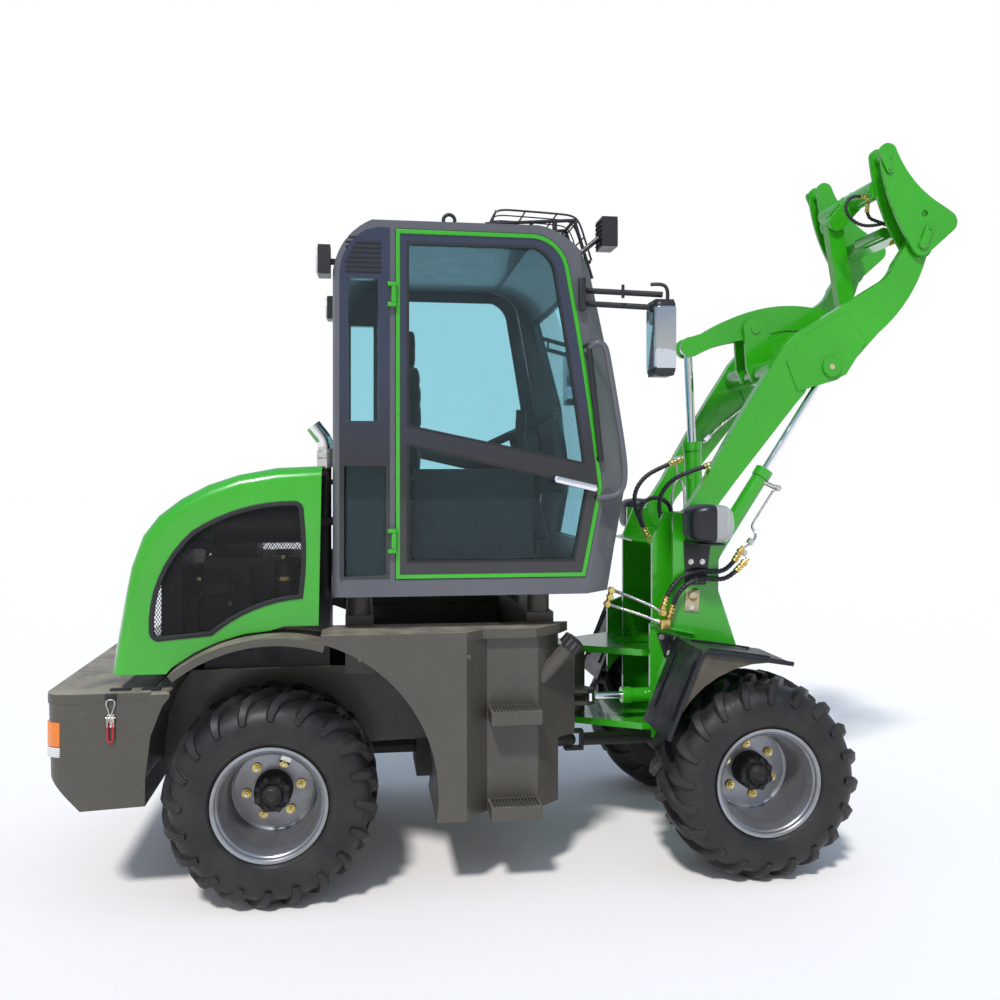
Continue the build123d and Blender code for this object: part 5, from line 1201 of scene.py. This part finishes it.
for name, bodies, run in (
    (
        "hose_lift_upper",
        ("front_frame", "lift_barrels"),
        ((-310, -394, 1046), (-288, -396, 1109), (-232, -397, 1160), (-160, -394, 1183))
        + ((-82, -389, 1168), (-25, -386, 1190), (8, -385, 1238)),
    ),
    (
        "hose_lift_lower",
        ("front_frame", "lift_barrels"),
        ((-282, -394, 1012), (-266, -404, 1074), (-222, -412, 1126), (-160, -414, 1152))
        + ((-88, -404, 1140), (-28, -391, 1148), (20, -389, 1194)),
    ),
    (
        "hose_arm",
        ("boom", "front_frame"),
        ((-62, -255, 1620), (-135, -245, 1596), (-215, -225, 1562), (-265, -208, 1505))
        + ((-277, -200, 1440), (-262, -197, 1374), (-244, -195, 1318)),
    ),
    (
        "hose_tilt",
        ("tilt_barrel", "front_frame"),
        ((-162, -60, 1634), (-227, -60, 1607), (-296, -60, 1571), (-342, -60, 1509))
        + ((-347, -60, 1442), (-319, -60, 1370), (-296, -60, 1318)),
    ),
    (
        "hose_loop",
        ("front_frame", "front_frame"),
        ((-305, -110, 1318), (-328, -112, 1366), (-338, -116, 1420), (-318, -122, 1462), (-270, -130, 1480))
        + ((-222, -138, 1462), (-200, -144, 1420), (-210, -148, 1366), (-235, -150, 1318)),
    ),
):
    hose(name, [front(*point) for point in run], *bodies)


def union_nut(body, start, end, radius):
    """A six-sided union nut between two points, among the fittings of a body."""
    rod(fittings[body], start, end, radius, 6, 0.002)


piped_bodies = ("front_frame", "lift_barrels", "boom", "tilt_barrel")
fittings = {body: bmesh.new() for body in piped_bodies}
steel_pipes = {body: bmesh.new() for body in piped_bodies}
tilt_line_y = -60
block(fittings["front_frame"], front(-336, -372, 942), front(-296, -430, 982), 0.003)
for points in (
    [(-501, -300, 1090), (-470, -315, 1079), (-400, -360, 1050), (-345, -398, 1026), (-326, -404, 1010)],
    [(-527, -300, 1034), (-490, -315, 1022), (-400, -365, 994), (-340, -410, 972), (-318, -415, 966)],
):
    pipe(steel_pipes["front_frame"], [front(*point) for point in points], 0.0072)
for x, y, z in ((-512, -298, 1092), (-530, -298, 1034), (-518, -298, 1064), (-322, -404, 1008), (-312, -414, 966)):
    union_nut("front_frame", front(x, y - 14, z), front(x, y + 14, z), 0.015)
rod(fittings["front_frame"], front(-512, -300, 1096), front(-530, -300, 1030), 0.010, 12)
barrel_line = ((-153, 1642), (-151, 1620), (-146, 1590), (-141, 1560))
pipe(steel_pipes["tilt_barrel"], standing(front, barrel_line, tilt_line_y), 0.0050)
union_nut("tilt_barrel", front(-170, tilt_line_y, 1640), front(-128, tilt_line_y, 1652), 0.013)
for run in (
    [(-172, 1334), (-176, 1400), (-170, 1500), (-152, 1556), (-134, 1560)],
    [(-118, 1334), (-112, 1400), (-114, 1500), (-128, 1556), (-142, 1560)],
):
    pipe(steel_pipes["front_frame"], standing(front, run, tilt_line_y), 0.0060)
for x in (-172, -118, -150):
    for z in (1340, 1400):
        union_nut("front_frame", front(x, tilt_line_y, z - 14), front(x, tilt_line_y, z + 14), 0.0115)
barrel_pipe = [(203, 334, 1517), (190, 334, 1512), (180, 330, 1494), (150, 330, 1449)]
barrel_pipe += [(110, 330, 1388), (94, 330, 1362), (96, 332, 1345), (106, 338, 1330)]
barrel_pipe += [(100, 354, 1312), (80, 376, 1296), (56, 384, 1280), (36, 385, 1270)]
for side in (-1, 1):
    pipe(steel_pipes["lift_barrels"], [front(x, side * y, z) for x, y, z in barrel_pipe], 0.0058)
    union_nut("lift_barrels", front(206, side * 316, 1520), front(206, side * 350, 1520), 0.014)
    rod(fittings["lift_barrels"], front(128, side * 314, 1556), front(202, side * 334, 1520), 0.010, 14)
    way = Vector((0.546, 0, 0.838))
    for r, at in ((0.016, 0.0), (0.0135, 0.055)):
        spot = front(66, side * 385, 1296) - way * at
        union_nut("lift_barrels", spot - way * 0.012, spot + way * 0.012, r)
outer_run = [(90, 272, 1730), (130, 270, 1774), (200, 270, 1832), (300, 270, 1912), (420, 268, 2010)]
pipe(steel_pipes["boom"], [front(*point) for point in outer_run], 0.0050)
inner_run = ((-40, 1632), (10, 1690), (83, 1817), (170, 1950), (300, 2090))
pipe(steel_pipes["boom"], standing(front, inner_run, -262), 0.0050)
union_nut("boom", front(96, 272, 1740), front(124, 272, 1768), 0.013)
for body, made in fittings.items():
    piece("fittings_" + body, body, yellow_zinc if body == "front_frame" else bright_zinc, made)
for body, made in steel_pipes.items():
    piece("pipes_" + body, body, bright_zinc, made)
form = bmesh.new()
flag = [(428, 2002), (444, 2000), (484, 2052), (474, 2062), (452, 2060)]
eye_dome = [(0, 0.014), (0.010, 0.013), (0.015, 0.008), (0.016, 0)]
for side in (-1, 1):
    prism(form, standing(front, flag, side * 326), (0, side * 0.006, 0), 0.001)
    lathe(form, eye_dome, front(451, side * 332, 2040), (0, side, 0), 24)
piece("eye_keepers", "boom", plated, form)


# ------------------------------------------------------------------ headlamps and mudguards
# A black housing with a clear bowed lens stands on each tower bracket. The mudguards are black
# moulded plastic with a rolled edge and pressed beads.


def loft(form, sections):
    """A closed shell through rounded square sections: (place, half width, half height, roundness)."""
    rings = []
    for spot, wide, high, power in sections:
        ring = []
        for k in range(40):
            a = 2 * math.pi * k / 40
            c, s = math.cos(a), math.sin(a)
            y = math.copysign(abs(c) ** (2 / power), c) * wide
            z = math.copysign(abs(s) ** (2 / power), s) * high
            ring.append(form.verts.new(spot + Vector((0, y, z))))
        rings.append(ring)
    skin(form, rings)


cover_tint = (0.88, 0.88, 0.90)
clear_cover, cover_shader, place = new_finish(
    "lamp_cover", base_color=cover_tint, transmission_weight=0.6, ior=1.4, roughness=0.04
)
feed(cover_shader, normal=bump(place.noise(60.0, 2.0), 0.25, 0.002))
lamp_y, lamp_z = 501, 1380
# rows from back to front: place, half width, half height, roundness
housing_rows = [(-252, 52, 50, 4), (-246, 64, 60, 4), (-225, 80, 72, 5)]
housing_rows += [(-190, 88, 77, 6), (-158, 89, 78, 6), (-152, 86, 75, 6)]
cover_rows = [(-156, 87, 76, 6), (-125, 87, 76, 5), (-100, 83, 72, 4)]
cover_rows += [(-80, 68, 58, 3.5), (-70, 48, 40, 3), (-67, 20, 16, 2.5)]
bowl_line = [(0.010, 0), (0.030, 0.008), (0.052, 0.024), (0.066, 0.044)]
bowl_line += [(0.068, 0.044), (0.052, 0.020), (0.030, 0.004), (0.010, -0.003)]
housing, cover, bowl = (bmesh.new() for _ in range(3))
for side in (-1, 1):
    for target, rows in ((housing, housing_rows), (cover, cover_rows)):
        loft(target, [(front(x, side * lamp_y, lamp_z), w / 1000, h / 1000, power) for x, w, h, power in rows])
    lathe(bowl, bowl_line, front(-150, side * lamp_y, lamp_z), (1, 0, 0), 36, looped=True)
    rod(bowl, front(-152, side * lamp_y, lamp_z), front(-118, side * lamp_y, lamp_z), 0.012, 16, 0.004)
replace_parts(piece("headlamp_housings", "front_frame", black_plastic, housing, 45), "headlamps")
piece("headlamp_covers", "front_frame", clear_cover, cover, 50)
piece("headlamp_bowls", "front_frame", chrome, bowl)
dress(black_plastic, "front_fenders")
form = bmesh.new()
rolled_edge = ((-405, 573), (-336, 741), (-272, 898), (-262, 907), (-240, 906), (-100, 887), (60, 858), (93, 851))
front_bead = ((-380, 640), (-330, 762), (-288, 866))
top_bead = ((-225, 905), (-120, 893), (20, 868))
for side in (-1, 1):
    pipe(form, standing(front, rolled_edge, side * 744), 0.0065, 10)
    for run, y in ((front_bead, 470), (front_bead, 700), (top_bead, 480), (top_bead, 690)):
        pipe(form, standing(front, run, side * y), 0.0045, 8)
piece("mudguard_beads", "front_frame", black_plastic, form)
web, web_shader, place = new_finish("dusty_plastic", roughness=0.7)
shade = place.noise(9.0, 6.0).smooth(0.3, 0.7).blend((0.050, 0.042, 0.032), (0.115, 0.095, 0.070))
feed(web_shader, base_color=shade, normal=bump(place.noise(300.0), 0.1, 0.0004))
form = bmesh.new()
skirt = outline((-396, 588), (-262, 893), (70, 846), ((-190, 812), (-386, 598)))
for side in (-1, 1):
    plate(form, [skirt], front, side * 726, side * 731)
piece("mudguard_webs", "front_frame", web, form)


# ------------------------------------------------------------------ lift arm, linkage and coupler
# Thick flame-cut arms with a rocker and a link that roll the tool. Painted keeper plates bolted over
# the pin ends stop them turning, and a short wrapped hose feeds the lock cylinder.

ear_face, keeper_sheet = 355, 6
keeper_ends = (((862, 2576), (892, 2646), 18), ((672, 2972), (706, 2896), 17))
form = bmesh.new()
places = []
for side in (-1, 1):
    for low_end, high_end, radius in keeper_ends:
        low_end, high_end = Vector(low_end), Vector(high_end)
        ahead = (high_end - low_end).normalized() * radius
        wide = Vector((-ahead.y, ahead.x))
        pill = []
        for spot, way in ((high_end, 1), (low_end, -1)):
            for k in range(13):
                a = math.pi * k / 12
                pill.append(spot + (ahead * math.sin(a) + wide * math.cos(a)) * way)
        prism(form, standing(front, pill, side * ear_face), (0, side * keeper_sheet / 1000, 0), 0.0015)
        places.append((front(high_end.x, side * (ear_face + keeper_sheet), high_end.y), (0, side, 0), 1.0))
piece("coupler_keepers", "coupler", green, form)
sizes = {"Head radius": 0.007, "Head height": 0.005}
repeated("coupler_bolts", "coupler", green, bolts, sizes, places)
form = bmesh.new()
for r, x, z in ((0.034, -160, 1360), (0.026, -175, 1079)):
    pin_end = [(0, 0.004), (r - 0.004, 0.004), (r, 0.0), (r, -0.004), (0, -0.004)]
    for side in (-1, 1):
        lathe(form, pin_end, front(x, side * tower_face, z), (0, side, 0), 32)
piece("tower_pin_ends", "front_frame", green, form)
long_run = ((684, 2812), (612, 2832), (572, 2752), (644, 2686), (742, 2692), (826, 2728), (872, 2672), (816, 2626))
short_run = ((706, 2788), (700, 2736), (762, 2716), (810, 2704))
for name, run, y in (("hose_lock_long", long_run, -200), ("hose_lock_short", short_run, -165)):
    hose(name, standing(front, run, y), "coupler", "coupler", 0.0068, 0.030)
